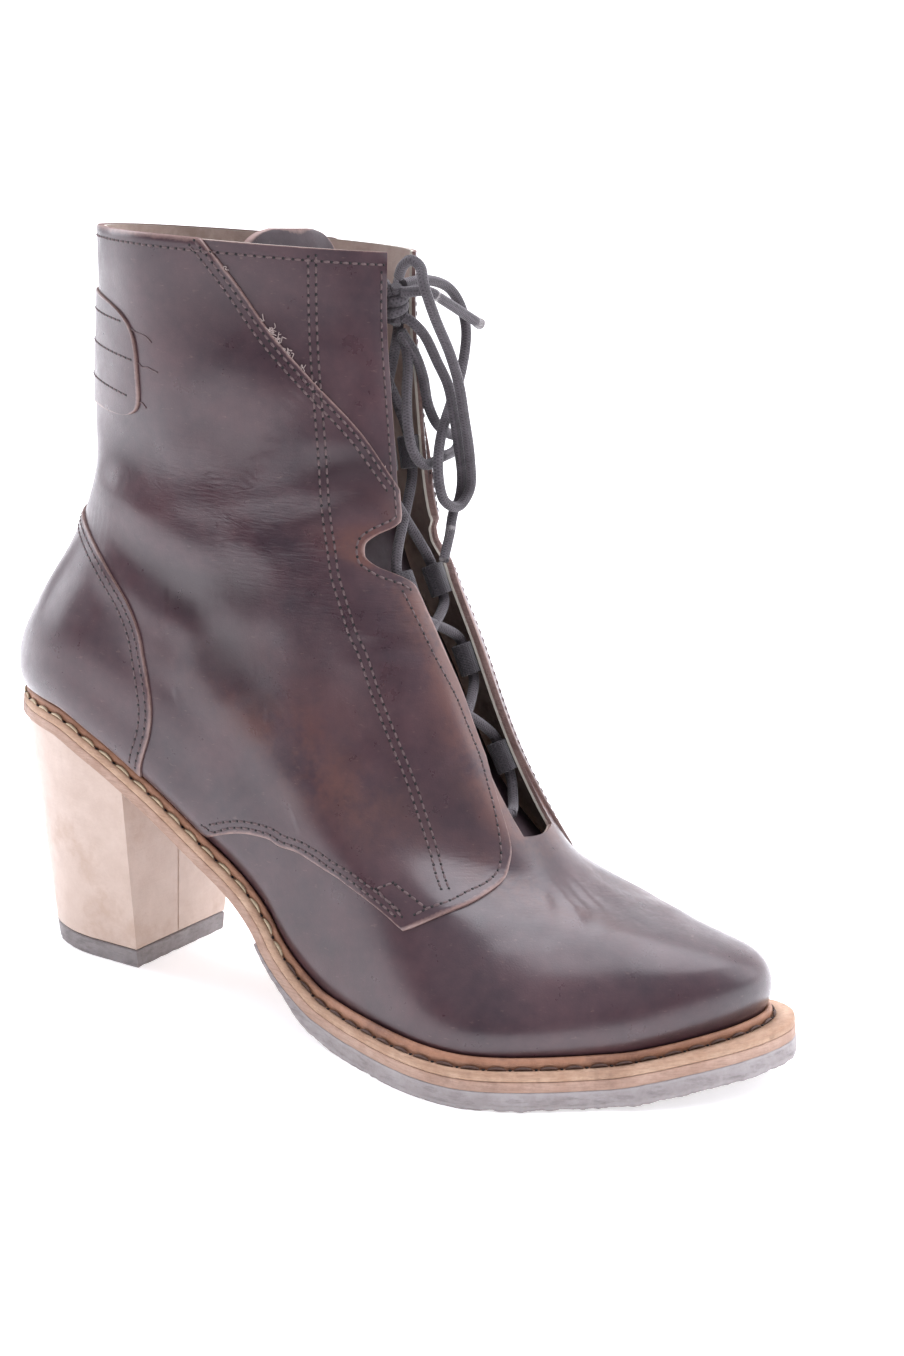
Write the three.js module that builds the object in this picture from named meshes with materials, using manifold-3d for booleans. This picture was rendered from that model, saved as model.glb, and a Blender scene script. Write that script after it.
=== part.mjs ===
// Ankle boot for the right foot: a laced leather upper on a welted sole and a block heel.
// Millimetres, +X to the toe, +Y to the inner side of the foot, +Z up, floor at z = 0.
// The group's origin is the middle of the heel's tread.
import * as THREE from 'three';
import { mergeVertices } from 'three/addons/utils/BufferGeometryUtils.js';
import Module from 'manifold-3d';

const wasm = await Module();
wasm.setup();

// Last: the foot's own sizes
const LAST_LENGTH = 234;
const BALL_WIDTH = 86;
const COLLAR_WIDTH = 71;
const SEAT_HEIGHT = 76;
const COUNTER_HEIGHT = 66;
const SHAFT_HEIGHT = 75;
const TOE_SPRING = 6.5;

// Layers of the bottom, and the gap that any two neighbours keep
const SEAM_GAP = 0.3;
const WELT_THICKNESS = 2.5;
const OUTSOLE_THICKNESS = 2.6;
const RUBBER_THICKNESS = 5;
const RUBBER_SKIVE = 0.7;
const INSOLE_THICKNESS = 2.5;
const RAND_HEIGHT = 2.6;
const RAND_WIDTH = 2.4;
const SOLE_MARGIN = 5;

// Leather of the upper
const WALL = 1.7;
const QUARTER_LEATHER = 1;
const COUNTER_LEATHER = 0.9;
const TAB_LEATHER = 0.8;

// Heel
const HEEL_LENGTH = 54;
const HEEL_INSET = 1.6;
const TREAD_LENGTH = 41;
const TREAD_WIDTH = 45.5;
const TREAD_BACK = 12.7;
// Share of the tread's length that its round back takes.
const TREAD_ROUND = 0.62;
const TREAD_SHIFT = -1.9;
const BACK_RAKE = 0.21;
const BREAST_RAKE = 0.04;
const SIDE_SPLAY = 0.25;
const LIFT_THICKNESS = 5.6;

// Tongue, loops and lace
const TONGUE_THICKNESS = 2;
const TONGUE_LEAN = 35;
const TONGUE_CROWN = 6;
const WEBBING_LOOP = { length: 9, width: 8.4, depth: 6, wall: 1 };
const LACE_DIAMETER = 3;
const KNOT = { width: 7.4, depth: 7, height: 14 };
const AGLET_DIAMETER = 3.6;

const STACK = WELT_THICKNESS + OUTSOLE_THICKNESS + RUBBER_THICKNESS + 3 * SEAM_GAP;
// The notch of the throat lies level with the top of the heel counter.
const INSTEP_HEIGHT = SEAT_HEIGHT + COUNTER_HEIGHT - STACK;
const WELT_DEPTH = SEAM_GAP;
const OUTSOLE_DEPTH = WELT_DEPTH + WELT_THICKNESS + SEAM_GAP;
const RUBBER_DEPTH = OUTSOLE_DEPTH + OUTSOLE_THICKNESS + SEAM_GAP;

// Rings of the last from the feather line (where the upper meets the sole) up to the collar.
// backX, frontX: shares of LAST_LENGTH. backCounter, backShaft: shares of COUNTER_HEIGHT and
// SHAFT_HEIGHT above the heel seat. frontInstep, frontShaft: shares of INSTEP_HEIGHT and
// SHAFT_HEIGHT above the ball. level: 0 follows the feather line, 1 is a straight ring.
// w and c columns: half width and sideways shift at that many degrees round from the back,
// shares of half of the width that girth names (shifts always of half of BALL_WIDTH).
const RING_COLUMNS = [
  'name', 'backX', 'backCounter', 'backShaft', 'frontX', 'frontInstep', 'frontShaft', 'level', 'girth',
  'w20', 'w45', 'w70', 'w95', 'w120', 'w140', 'w160',
  'c0', 'c45', 'c70', 'c95', 'c120', 'c140', 'c160', 'c180',
];
const RINGS = [
  ['feather', 0, 0, 0, 1, 0, 0, 0, 'ball',
    0.385, 0.675, 0.6, 0.7, 1.015, 0.735, 0.39, -0.03, -0.035, -0.085, -0.14, -0.13, 0.13, 0.31, 0.4],
  ['wall', -0.014, 0.11, 0, 1.01, 0.112, 0, 0.03, 'ball',
    0.415, 0.735, 0.72, 0.79, 1.04, 0.765, 0.41, -0.03, -0.035, -0.065, -0.12, -0.13, 0.12, 0.29, 0.38],
  ['toe cap', -0.012, 0.24, 0, 0.996, 0.182, 0, 0.15, 'ball',
    0.42, 0.74, 0.76, 0.82, 0.95, 0.68, 0.38, -0.03, -0.03, -0.04, -0.1, -0.12, 0.09, 0.24, 0.31],
  ['vamp low', 0.004, 0.38, 0, 0.938, 0.222, 0, 0.35, 'ball',
    0.41, 0.73, 0.77, 0.82, 0.85, 0.6, 0.34, -0.03, -0.03, -0.03, -0.07, -0.09, 0.06, 0.15, 0.19],
  ['vamp high', 0.028, 0.54, 0, 0.828, 0.268, 0, 0.6, 'ball',
    0.39, 0.7, 0.76, 0.8, 0.77, 0.55, 0.31, -0.03, -0.03, -0.02, -0.04, -0.06, 0.02, 0.07, 0.09],
  ['instep', 0.054, 0.7, 0, 0.748, 0.35, 0, 0.85, 'ball',
    0.37, 0.67, 0.75, 0.78, 0.71, 0.54, 0.32, -0.02, -0.02, -0.02, -0.02, -0.02, 0.01, 0.03, 0.04],
  ['throat', 0.074, 0.86, 0, 0.668, 0.55, 0, 1, 'ball',
    0.34, 0.63, 0.73, 0.74, 0.66, 0.54, 0.34, -0.02, -0.02, -0.02, -0.02, 0, 0, 0.01, 0.02],
  ['ankle', 0.084, 1, 0.04, 0.605, 0.77, 0, 1, 'ball',
    0.32, 0.61, 0.73, 0.73, 0.64, 0.53, 0.33, -0.02, -0.02, -0.02, -0.02, 0, 0, 0, 0],
  ['notch', 0.086, 1, 0.24, 0.55, 0.96, 0, 1, 'collar',
    0.34, 0.67, 0.85, 0.87, 0.76, 0.61, 0.37, -0.02, -0.02, -0.02, -0.02, 0, 0, 0, 0],
  ['shaft low', 0.084, 1, 0.44, 0.525, 1, 0.24, 1, 'collar',
    0.33, 0.67, 0.89, 0.91, 0.79, 0.59, 0.33, -0.02, -0.02, -0.02, -0.02, 0, 0, 0, 0],
  ['shaft high', 0.08, 1, 0.72, 0.5, 1, 0.62, 1, 'collar',
    0.33, 0.68, 0.92, 0.95, 0.81, 0.59, 0.32, -0.02, -0.02, -0.02, -0.02, 0, 0, 0, 0],
  ['collar', 0.074, 1, 1, 0.489, 1, 1.01, 1, 'collar',
    0.33, 0.69, 0.95, 0.99, 0.84, 0.61, 0.32, -0.02, -0.02, -0.02, -0.02, 0, 0, 0, 0],
].map((row) => Object.fromEntries(RING_COLUMNS.map((column, i) => [column, row[i]])));
const RING_ANGLES = [0, 20, 45, 70, 95, 120, 140, 160, 180];

// Feather line in side view. x: share of LAST_LENGTH. seat: share of the way from the sole's
// stack up to SEAT_HEIGHT. spring: share of TOE_SPRING.
const FEATHER_LINE = [
  { x: 0, seat: 1.005, spring: 0 },
  { x: 0.107, seat: 0.98, spring: 0 },
  { x: 0.179, seat: 0.886, spring: 0 },
  { x: 0.253, seat: 0.743, spring: 0 },
  { x: 0.336, seat: 0.552, spring: 0 },
  { x: 0.408, seat: 0.389, spring: 0 },
  { x: 0.446, seat: 0.265, spring: 0 },
  { x: 0.465, seat: 0.178, spring: 0 },
  { x: 0.505, seat: 0.072, spring: 0 },
  { x: 0.545, seat: 0.015, spring: 0 },
  { x: 0.6, seat: 0, spring: 0 },
  { x: 0.74, seat: 0, spring: 0 },
  { x: 0.82, seat: 0, spring: 0.08 },
  { x: 0.9, seat: 0, spring: 0.15 },
  { x: 0.934, seat: 0, spring: 0.37 },
  { x: 0.97, seat: 0, spring: 0.7 },
  { x: 1, seat: 0, spring: 0.95 },
  { x: 1.05, seat: 0, spring: 1.3 },
];

// How far the sole's edge stands out from the upper, in shares of SOLE_MARGIN, by angle from the back.
const SOLE_EDGE = [
  { angle: 0, out: 0.6 },
  { angle: 30, out: 0.8 },
  { angle: 70, out: 0.92 },
  { angle: 110, out: 1 },
  { angle: 140, out: 1.3 },
  { angle: 165, out: 1.7 },
  { angle: 180, out: 1.9 },
];

// Half of the throat's gap: angle from the back at which each flap ends, by height share.
const FLAP_EDGE = [
  { height: 0.3, angle: 169 },
  { height: 0.46, angle: 168.5 },
  { height: 0.52, angle: 168 },
  { height: 0.588, angle: 168.5 },
  { height: 0.638, angle: 166.5 },
  { height: 0.669, angle: 165 },
  { height: 0.69, angle: 163.5 },
  { height: 0.698, angle: 158 },
  { height: 0.704, angle: 148 },
  { height: 0.712, angle: 144 },
  { height: 0.724, angle: 145 },
  { height: 0.74, angle: 152 },
  { height: 0.75, angle: 160 },
  { height: 0.758, angle: 164.5 },
  { height: 0.77, angle: 165.5 },
  { height: 1, angle: 166.5 },
  { height: 1.1, angle: 166.5 },
];
const THROAT_FOOT = 0.475;

// Lower edge of the quarter over the vamp, by angle from the back.
const QUARTER_EDGE = [
  { angle: 70.5, height: 0 },
  { angle: 73, height: 0.06 },
  { angle: 76.5, height: 0.12 },
  { angle: 82, height: 0.193 },
  { angle: 87, height: 0.243 },
  { angle: 94, height: 0.281 },
  { angle: 100, height: 0.288 },
  { angle: 104.5, height: 0.279 },
  { angle: 108.5, height: 0.262 },
  { angle: 111, height: 0.245 },
  { angle: 118, height: 0.281 },
  { angle: 130, height: 0.331 },
  { angle: 143, height: 0.388 },
  { angle: 152, height: 0.432 },
  { angle: 160, height: 0.47 },
  { angle: 165, height: 0.512 },
  { angle: 170, height: 0.56 },
  { angle: 180, height: 0.62 },
];

// Upper edge of the quarter, where it laps the collar's front piece: the diagonal seam.
const DIAGONAL_EDGE = [
  { angle: 94, height: 1.006 },
  { angle: 107, height: 0.962 },
  { angle: 118, height: 0.921 },
  { angle: 131, height: 0.885 },
  { angle: 150, height: 0.84 },
  { angle: 161, height: 0.806 },
  { angle: 180, height: 0.745 },
];

// Front edge of the heel counter, by height share.
const COUNTER_EDGE = [
  { height: 0.04, angle: 60.5 },
  { height: 0.2, angle: 63 },
  { height: 0.34, angle: 64 },
  { height: 0.43, angle: 62.5 },
  { height: 0.488, angle: 58 },
  { height: 0.525, angle: 49 },
  { height: 0.548, angle: 37 },
  { height: 0.56, angle: 20 },
  { height: 0.564, angle: 0 },
];

// Reinforcement round the back of the shaft. squareness: 2 is an ellipse, more is closer to a rectangle.
const TAB = { height: 0.85, halfHeight: 0.073, angle: 67.5, squareness: 4 };

// Tongue from its foot under the vamp to its rounded top. setback: how far behind the throat's
// front line, share of TONGUE_LEAN. half: share of half of COLLAR_WIDTH. crown: how far its edges
// fall back, share of TONGUE_CROWN.
const TONGUE = [
  { height: 0.4, setback: 0.13, half: 0.5, crown: 0.83 },
  { height: 0.46, setback: 0.18, half: 0.56, crown: 0.83 },
  { height: 0.52, setback: 0.285, half: 0.6, crown: 0.92 },
  { height: 0.6, setback: 0.357, half: 0.64, crown: 1 },
  { height: 0.7, setback: 0.43, half: 0.68, crown: 1 },
  { height: 0.8, setback: 0.543, half: 0.71, crown: 0.92 },
  { height: 0.9, setback: 0.743, half: 0.73, crown: 0.83 },
  { height: 0.97, setback: 0.9, half: 0.72, crown: 0.67 },
  { height: 0.99, setback: 0.95, half: 0.7, crown: 0.6 },
  { height: 1.003, setback: 0.98, half: 0.62, crown: 0.5 },
  { height: 1.011, setback: 1, half: 0.48, crown: 0.35 },
  { height: 1.015, setback: 1.01, half: 0.3, crown: 0.25 },
];
// The rows from this one up round off its top.
const TONGUE_TOP_ROW = 7;

// Heights of the five webbing loops inside each flap.
const LOOP_HEIGHTS = [0.535, 0.617, 0.692, 0.826, 0.95];
// Degrees by which each loop sits back from the flap's edge.
const LOOP_TURN = 4;
const LOOP_NAMES = ['first', 'second', 'third', 'fourth', 'fifth'];

// Routes of the free lace, from the knot outwards.
const KNOT_CENTRE = [113.2, -1.2, 202.8];
const LARGE_LOOP = [
  [115, -4.1, 210.9], [117.5, -6.7, 213.9], [120.5, -7.9, 215.8], [123.3, -7.7, 214.4], [126, -9.5, 209.6],
  [128, -5.6, 200.9], [129.7, 1.4, 191], [130.8, 6.1, 182.3], [131.6, 8.9, 173.8], [131.8, 14.2, 161.3],
  [131.2, 16.9, 152.1], [130.2, 12.9, 147.4], [129, 5.8, 149.7], [127.9, 2.9, 158.6], [125.7, 7.3, 167],
  [123.5, 15.4, 174.9], [122.3, 22, 181.8], [121, 26.7, 190], [120, 28.2, 196.1], [118.5, 27, 202],
  [117.3, 21.7, 207.1], [116.3, 13.2, 209.4], [115.3, 4.6, 209.4], [114.6, -0.8, 208.6],
];
const SMALL_LOOP = [
  [114.5, 0.1, 195.7], [115.8, 1.6, 193], [117.2, 4.2, 189.4], [118.2, 7.9, 183.2], [119.3, 10.1, 175.3],
  [120.3, 14.4, 169.5], [120.8, 21.8, 166.1], [121.2, 26.8, 164.9], [121.3, 25.8, 162.1], [123.6, 13, 160.6],
  [123.8, 1.9, 159.5], [122.8, -3.2, 163.6], [121.4, -4.5, 170.3], [118.4, -1.1, 178.9], [116, 2.5, 187.4],
  [114.2, 2.7, 193.1], [113.5, 2, 194.4],
];
const LONG_END = [
  [115.5, -0.6, 199.7], [117.5, 0.6, 198.5], [120, 3.5, 195.1], [123.5, 5.7, 188.1], [126.2, 8.2, 181.6],
  [127.8, 10.1, 173.3], [128.2, 13.9, 163.7], [128, 17.7, 154.1], [127.7, 17.4, 148.3], [128, 14.2, 145.8],
  [129, 11.2, 141.7],
];
const LONG_AGLET = [
  [129.2, 10.9, 141.2], [131.5, 3.8, 133.1],
];
const SHORT_END = [
  [115.5, -2.7, 206.6], [117.5, -2.3, 206.8], [119.5, -2, 207.2], [122, -1.5, 207.5], [123.2, 0.4, 207],
];
const SHORT_AGLET = [
  [123.5, 1.1, 206.7], [125.5, 26.1, 197.9],
];

const LEATHER_BROWN = { color: 0x3a2528, roughness: 0.38, metalness: 0 };
const TONGUE_BROWN = { color: 0x35211d, roughness: 0.55, metalness: 0 };
const INSOLE_BEIGE = { color: 0xb9a689, roughness: 0.8, metalness: 0 };
const WELT_TAN = { color: 0xb47a4c, roughness: 0.6, metalness: 0 };
const SOLE_TAN = { color: 0xcf9a72, roughness: 0.6, metalness: 0 };
const RUBBER_GREY = { color: 0x8f817e, roughness: 0.7, metalness: 0 };
const HEEL_TAN = { color: 0xe2bd9a, roughness: 0.5, metalness: 0 };
const WEBBING_DARK = { color: 0x241d1e, roughness: 0.9, metalness: 0 };
const LACE_BROWN = { color: 0x40363a, roughness: 0.9, metalness: 0 };
const AGLET_GREY = { color: 0x6a6468, roughness: 0.3, metalness: 0 };

const radians = (degrees) => (degrees * Math.PI) / 180;
const mix = (a, b, t) => a + (b - a) * t;
const clamp = (x, low, high) => Math.min(Math.max(x, low), high);
const add = (p, q, k = 1) => [p[0] + k * q[0], p[1] + k * q[1], p[2] + k * q[2]];
const steps = (count, from, to) => Array.from({ length: count + 1 }, (_, i) => mix(from, to, i / count));

// Natural cubic spline through the points, straight on past both ends.
function spline(xs, ys) {
  const n = xs.length;
  const bend = new Array(n).fill(0);
  const upper = new Array(n).fill(0);
  for (let i = 1; i < n - 1; i++) {
    const share = (xs[i] - xs[i - 1]) / (xs[i + 1] - xs[i - 1]);
    const pivot = share * bend[i - 1] + 2;
    const turn = (ys[i + 1] - ys[i]) / (xs[i + 1] - xs[i]) - (ys[i] - ys[i - 1]) / (xs[i] - xs[i - 1]);
    bend[i] = (share - 1) / pivot;
    upper[i] = ((6 * turn) / (xs[i + 1] - xs[i - 1]) - share * upper[i - 1]) / pivot;
  }
  for (let i = n - 2; i >= 0; i--) bend[i] = bend[i] * bend[i + 1] + upper[i];
  bend[0] = 0;
  const value = (i, x) => {
    const h = xs[i + 1] - xs[i];
    const a = (xs[i + 1] - x) / h;
    const b = (x - xs[i]) / h;
    return a * ys[i] + b * ys[i + 1] + (((a ** 3 - a) * bend[i] + (b ** 3 - b) * bend[i + 1]) * h * h) / 6;
  };
  const slope = (i, end) => {
    const h = xs[i + 1] - xs[i];
    const k = end === 0 ? [-2, -1] : [1, 2];
    return (ys[i + 1] - ys[i]) / h + ((k[0] * bend[i] + k[1] * bend[i + 1]) * h) / 6;
  };
  const first = slope(0, 0);
  const last = slope(n - 2, 1);
  return (x) => {
    if (x < xs[0]) return ys[0] + first * (x - xs[0]);
    if (x > xs[n - 1]) return ys[n - 1] + last * (x - xs[n - 1]);
    let i = 0;
    while (i < n - 2 && x > xs[i + 1]) i++;
    return value(i, x);
  };
}

// Curve through the points that never swings past them, straight on past both ends.
function steady(xs, ys) {
  const n = xs.length;
  const rise = xs.slice(1).map((x, i) => (ys[i + 1] - ys[i]) / (x - xs[i]));
  const slope = ys.map((_, i) => {
    if (i === 0) return rise[0];
    if (i === n - 1) return rise[n - 2];
    if (rise[i - 1] * rise[i] <= 0) return 0;
    const before = xs[i] - xs[i - 1];
    const after = xs[i + 1] - xs[i];
    const a = 2 * after + before;
    const b = after + 2 * before;
    return (a + b) / (a / rise[i - 1] + b / rise[i]);
  });
  return (x) => {
    if (x < xs[0]) return ys[0] + slope[0] * (x - xs[0]);
    if (x > xs[n - 1]) return ys[n - 1] + slope[n - 1] * (x - xs[n - 1]);
    let i = 0;
    while (i < n - 2 && x > xs[i + 1]) i++;
    const h = xs[i + 1] - xs[i];
    const t = (x - xs[i]) / h;
    const blend = t * t * (3 - 2 * t);
    return mix(ys[i], ys[i + 1], blend) + h * t * (1 - t) * ((1 - t) * slope[i] - t * slope[i + 1]);
  };
}

const column = (table, key, scale = 1) => table.map((row) => row[key] * scale);
const between = (table, from, to) => steady(column(table, from), column(table, to));

const featherCurve = steady(
  column(FEATHER_LINE, 'x', LAST_LENGTH),
  FEATHER_LINE.map((row) => STACK + (SEAT_HEIGHT - STACK) * row.seat + TOE_SPRING * row.spring),
);
const featherHeight = (x) => featherCurve(Math.max(x, 0));
const soleShare = between(SOLE_EDGE, 'angle', 'out');
const soleEdge = (angle) => soleShare(angle) * SOLE_MARGIN;
const flapEdge = between(FLAP_EDGE, 'height', 'angle');
const counterEdge = between(COUNTER_EDGE, 'height', 'angle');
const tongueSetback = between(TONGUE, 'height', 'setback');
const tongueHalf = between(TONGUE, 'height', 'half');
const tongueCrown = between(TONGUE, 'height', 'crown');
const straightLine = (table) => (angle) => {
  const i = clamp(table.filter((row) => row.angle <= angle).length - 1, 0, table.length - 2);
  const t = (angle - table[i].angle) / (table[i + 1].angle - table[i].angle);
  return mix(table[i].height, table[i + 1].height, t);
};
const quarterEdge = straightLine(QUARTER_EDGE);
const diagonalEdge = straightLine(DIAGONAL_EDGE);

// The rings in millimetres, as one spline for each column. The first lies on the feather line.
const ringRows = RINGS.map((ring, i) => {
  const half = (ring.girth === 'ball' ? BALL_WIDTH : COLLAR_WIDTH) / 2;
  const widths = [0, ring.w20, ring.w45, ring.w70, ring.w95, ring.w120, ring.w140, ring.w160, 0];
  const shifts = [ring.c0, ring.c0, ring.c45, ring.c70, ring.c95, ring.c120, ring.c140, ring.c160, ring.c180];
  const backX = ring.backX * LAST_LENGTH;
  const frontX = ring.frontX * LAST_LENGTH;
  const backZ = SEAT_HEIGHT + ring.backCounter * COUNTER_HEIGHT + ring.backShaft * SHAFT_HEIGHT;
  const frontZ = STACK + ring.frontInstep * INSTEP_HEIGHT + ring.frontShaft * SHAFT_HEIGHT;
  return [
    backX,
    i === 0 ? featherHeight(backX) : backZ,
    frontX,
    i === 0 ? featherHeight(frontX) : frontZ,
    ring.level,
    ...widths.map((share) => share * half),
    ...shifts.map((share) => (share * BALL_WIDTH) / 2),
  ];
});
const ringHeights = ringRows.map((_, i) => i / (ringRows.length - 1));
const ringSplines = ringRows[0].map((_, c) => spline(ringHeights, ringRows.map((row) => row[c])));

// A spline round half of a ring, mirrored past the back and the front so that it closes smoothly.
function halfRound(values, sign) {
  const angles = RING_ANGLES.map(radians);
  const whole = 2 * Math.PI;
  const xs = [...angles.slice(1).reverse().map((a) => -a), ...angles];
  xs.push(...angles.slice(0, -1).reverse().map((a) => whole - a));
  const ys = [...values.slice(1).reverse().map((v) => sign * v), ...values];
  ys.push(...values.slice(0, -1).reverse().map((v) => sign * v));
  return spline(xs, ys);
}

const ringCache = new Map();
function ringAt(height) {
  const key = height.toFixed(6);
  if (!ringCache.has(key)) {
    const row = ringSplines.map((curve) => curve(height));
    const [backX, backZ, frontX, frontZ, level] = row;
    ringCache.set(key, {
      backX, backZ, frontX, frontZ,
      level: clamp(level, 0, 1),
      backLift: backZ - featherHeight(backX),
      frontLift: frontZ - featherHeight(frontX),
      width: halfRound(row.slice(5, 14), -1),
      shift: halfRound(row.slice(14, 23), 1),
    });
  }
  return ringCache.get(key);
}

// A point on the last's skin. height: 0 at the feather line, 1 at the collar.
// turn: radians round from the back, outer side first.
function skin(height, turn) {
  const ring = ringAt(height);
  const around = turn <= Math.PI ? turn : 2 * Math.PI - turn;
  const side = turn <= Math.PI ? -1 : 1;
  const along = (1 - Math.cos(around)) / 2;
  const x = mix(ring.backX, ring.frontX, along);
  const low = featherHeight(x) + mix(ring.backLift, ring.frontLift, along);
  const straight = mix(ring.backZ, ring.frontZ, along);
  return [x, ring.shift(around) + side * ring.width(around), mix(low, straight, ring.level)];
}

function outward(height, turn) {
  const d = 1e-3;
  const up = add(skin(height + d, turn), skin(height - d, turn), -1);
  const round = add(skin(height, turn + d), skin(height, turn - d), -1);
  const n = new THREE.Vector3(...round).cross(new THREE.Vector3(...up)).normalize();
  return n.toArray();
}

const surface = (height, turn, offset) => add(skin(height, turn), outward(height, turn), offset);

// Height share of a level this many millimetres above the feather line, near the bottom.
const heightAbove = (mm) => mm / (RINGS[1].backCounter * COUNTER_HEIGHT) / (RINGS.length - 1);
const OVERLAY_FOOT = heightAbove(RAND_HEIGHT + 4 * SEAM_GAP);

// A closed solid from a list of triangles.
function solid(triangles) {
  const soup = new THREE.BufferGeometry();
  soup.setAttribute('position', new THREE.Float32BufferAttribute(triangles.flat(2), 3));
  const merged = mergeVertices(soup, 1e-4);
  const kept = [];
  for (let i = 0; i < merged.index.count; i += 3) {
    const [a, b, c] = [0, 1, 2].map((k) => merged.index.getX(i + k));
    if (a !== b && b !== c && c !== a) kept.push(a, b, c);
  }
  const build = (order) => new wasm.Manifold(new wasm.Mesh({
    numProp: 3,
    vertProperties: merged.attributes.position.array,
    triVerts: new Uint32Array(order),
  }));
  const made = build(kept);
  return made.volume() > 0 ? made : build(kept.reverse());
}

const quad = (a, b, c, d) => [[a, b, c], [a, c, d]];

// The wall between loops of equal length, each joined to the next.
function wallOf(loops) {
  const faces = [];
  const n = loops[0].length;
  for (let r = 0; r + 1 < loops.length; r++) {
    for (let i = 0; i < n; i++) {
      const j = (i + 1) % n;
      faces.push(...quad(loops[r][i], loops[r][j], loops[r + 1][j], loops[r + 1][i]));
    }
  }
  return faces;
}

// Strips across a loop from each point to its partner, whose index is mirror less its own.
function capOf(loop, mirror, flip) {
  const faces = [];
  const n = loop.length;
  for (let i = 0; i < (mirror - 1) / 2; i++) {
    const strip = [loop[i], loop[(mirror - i) % n], loop[(mirror - i - 1) % n], loop[i + 1]];
    faces.push(...quad(...(flip ? strip.reverse() : strip)));
  }
  return faces;
}

// Joined loops with both ends closed. Each loop starts on the centre line at the back, or with
// a straight rear side from its last point to its first.
function loft(loops, straightRear = false) {
  const mirror = loops[0].length - (straightRear ? 1 : 0);
  return solid([
    ...wallOf(loops),
    ...capOf(loops[0], mirror, false),
    ...capOf(loops[loops.length - 1], mirror, true),
  ]);
}

// A bent plate between two grids of points, closed round its four edges.
function plate(front, back) {
  const faces = [];
  const rows = front.length - 1;
  const cols = front[0].length - 1;
  for (let r = 0; r < rows; r++) {
    for (let c = 0; c < cols; c++) {
      faces.push(...quad(front[r][c], front[r][c + 1], front[r + 1][c + 1], front[r + 1][c]));
      faces.push(...quad(back[r + 1][c], back[r + 1][c + 1], back[r][c + 1], back[r][c]));
    }
  }
  for (let r = 0; r < rows; r++) {
    faces.push(...quad(front[r][0], front[r + 1][0], back[r + 1][0], back[r][0]));
    faces.push(...quad(back[r][cols], back[r + 1][cols], front[r + 1][cols], front[r][cols]));
  }
  for (let c = 0; c < cols; c++) {
    faces.push(...quad(back[0][c], back[0][c + 1], front[0][c + 1], front[0][c]));
    faces.push(...quad(front[rows][c], front[rows][c + 1], back[rows][c + 1], back[rows][c]));
  }
  return solid(faces);
}

// Turns round one half of a ring, closest together along the arch.
const halfTurns = [[0, 54, 9], [54, 79, 5], [79, 97, 6], [97, 107, 2], [107, 180, 9]].flatMap(
  ([from, to, count]) => steps(count, from, to).slice(0, -1),
).concat(180).map(radians);
const mirrored = (half, shared = 1) => [
  ...half,
  ...half.slice(shared, -1).reverse().map((turn) => 2 * Math.PI - turn),
];
const turns = mirrored(halfTurns);

// The last grown outwards by offset, between two heights.
function form(offset, from, to, rows) {
  return loft(steps(rows, from, to).map((height) => turns.map((turn) => surface(height, turn, offset))));
}

// A piece lying on the last: its grid of heights and turns, between two offsets.
function overlay(grid, inner, outer) {
  const at = (offset) => grid.map((row) => row.map(([height, turn]) => surface(height, turn, offset)));
  return plate(at(outer), at(inner));
}

const folded = (turn) => Math.min(turn, 2 * Math.PI - turn) / radians(1);

const WALL_ROWS = 14;
function upper() {
  const outer = form(0, 0, 1, WALL_ROWS);
  const hollow = form(-WALL, -heightAbove(3), 1.03, WALL_ROWS);

  const quarterTurns = mirrored([...steps(8, 0, 64), ...column(QUARTER_EDGE, 'angle')].map(radians));
  const quarterRows = 10;
  const quarterGrid = steps(quarterRows, 0, 1).map((share) => quarterTurns.map((turn) => {
    const low = Math.max(quarterEdge(folded(turn)), OVERLAY_FOOT);
    const high = folded(turn) < DIAGONAL_EDGE[0].angle ? 1 : Math.min(1, diagonalEdge(folded(turn)));
    return [mix(low, high, share), turn];
  }));
  const quarter = wrapped(quarterGrid, -WALL / 2, QUARTER_LEATHER);

  const counterOut = QUARTER_LEATHER + COUNTER_LEATHER;
  const counterRows = steps(9, OVERLAY_FOOT, COUNTER_EDGE[COUNTER_EDGE.length - 1].height);
  const counterGrid = counterRows.map((height) => steps(12, -1, 1).map(
    (share) => [height, share * radians(Math.max(counterEdge(height), 0))],
  ));
  const counter = overlay(counterGrid, -WALL / 2, counterOut);

  const tabGrid = steps(8, -Math.PI / 2, Math.PI / 2).map((lift) => {
    const rise = Math.sin(lift);
    const reach = radians(TAB.angle) * (1 - Math.abs(rise) ** TAB.squareness) ** (1 / TAB.squareness);
    return steps(8, -1, 1).map((share) => [TAB.height + TAB.halfHeight * rise, share * reach]);
  });
  const tab = overlay(tabGrid, -WALL / 2, QUARTER_LEATHER + TAB_LEATHER);

  return outer
    .add(quarter.subtract(throat(FLAP_EDGE[0].height, 0)))
    .add(counter)
    .add(tab)
    .subtract(hollow)
    .subtract(throat(THROAT_FOOT, 0.3));
}

// An overlay that runs all the way round the boot and meets itself at the back.
function wrapped(grid, inner, outer) {
  const lines = (offset) => grid.map((row) => row.map(([height, turn]) => surface(height, turn, offset)));
  const out = lines(outer);
  return solid(wallOf([...out, ...lines(inner).reverse(), out[0]]));
}

// The gap between the flaps, as a cutter that reaches through the wall.
function throat(foot, wider) {
  const cutHeights = [foot, ...column(FLAP_EDGE, 'height').filter((height) => height > foot + 0.01)];
  const grid = cutHeights.map((height) => steps(6, -1, 1).map((share) => {
    const half = 180 - flapEdge(height) + wider;
    return [height, Math.PI + share * radians(half)];
  }));
  return overlay(grid, -3 * WALL, 4 * QUARTER_LEATHER);
}

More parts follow.
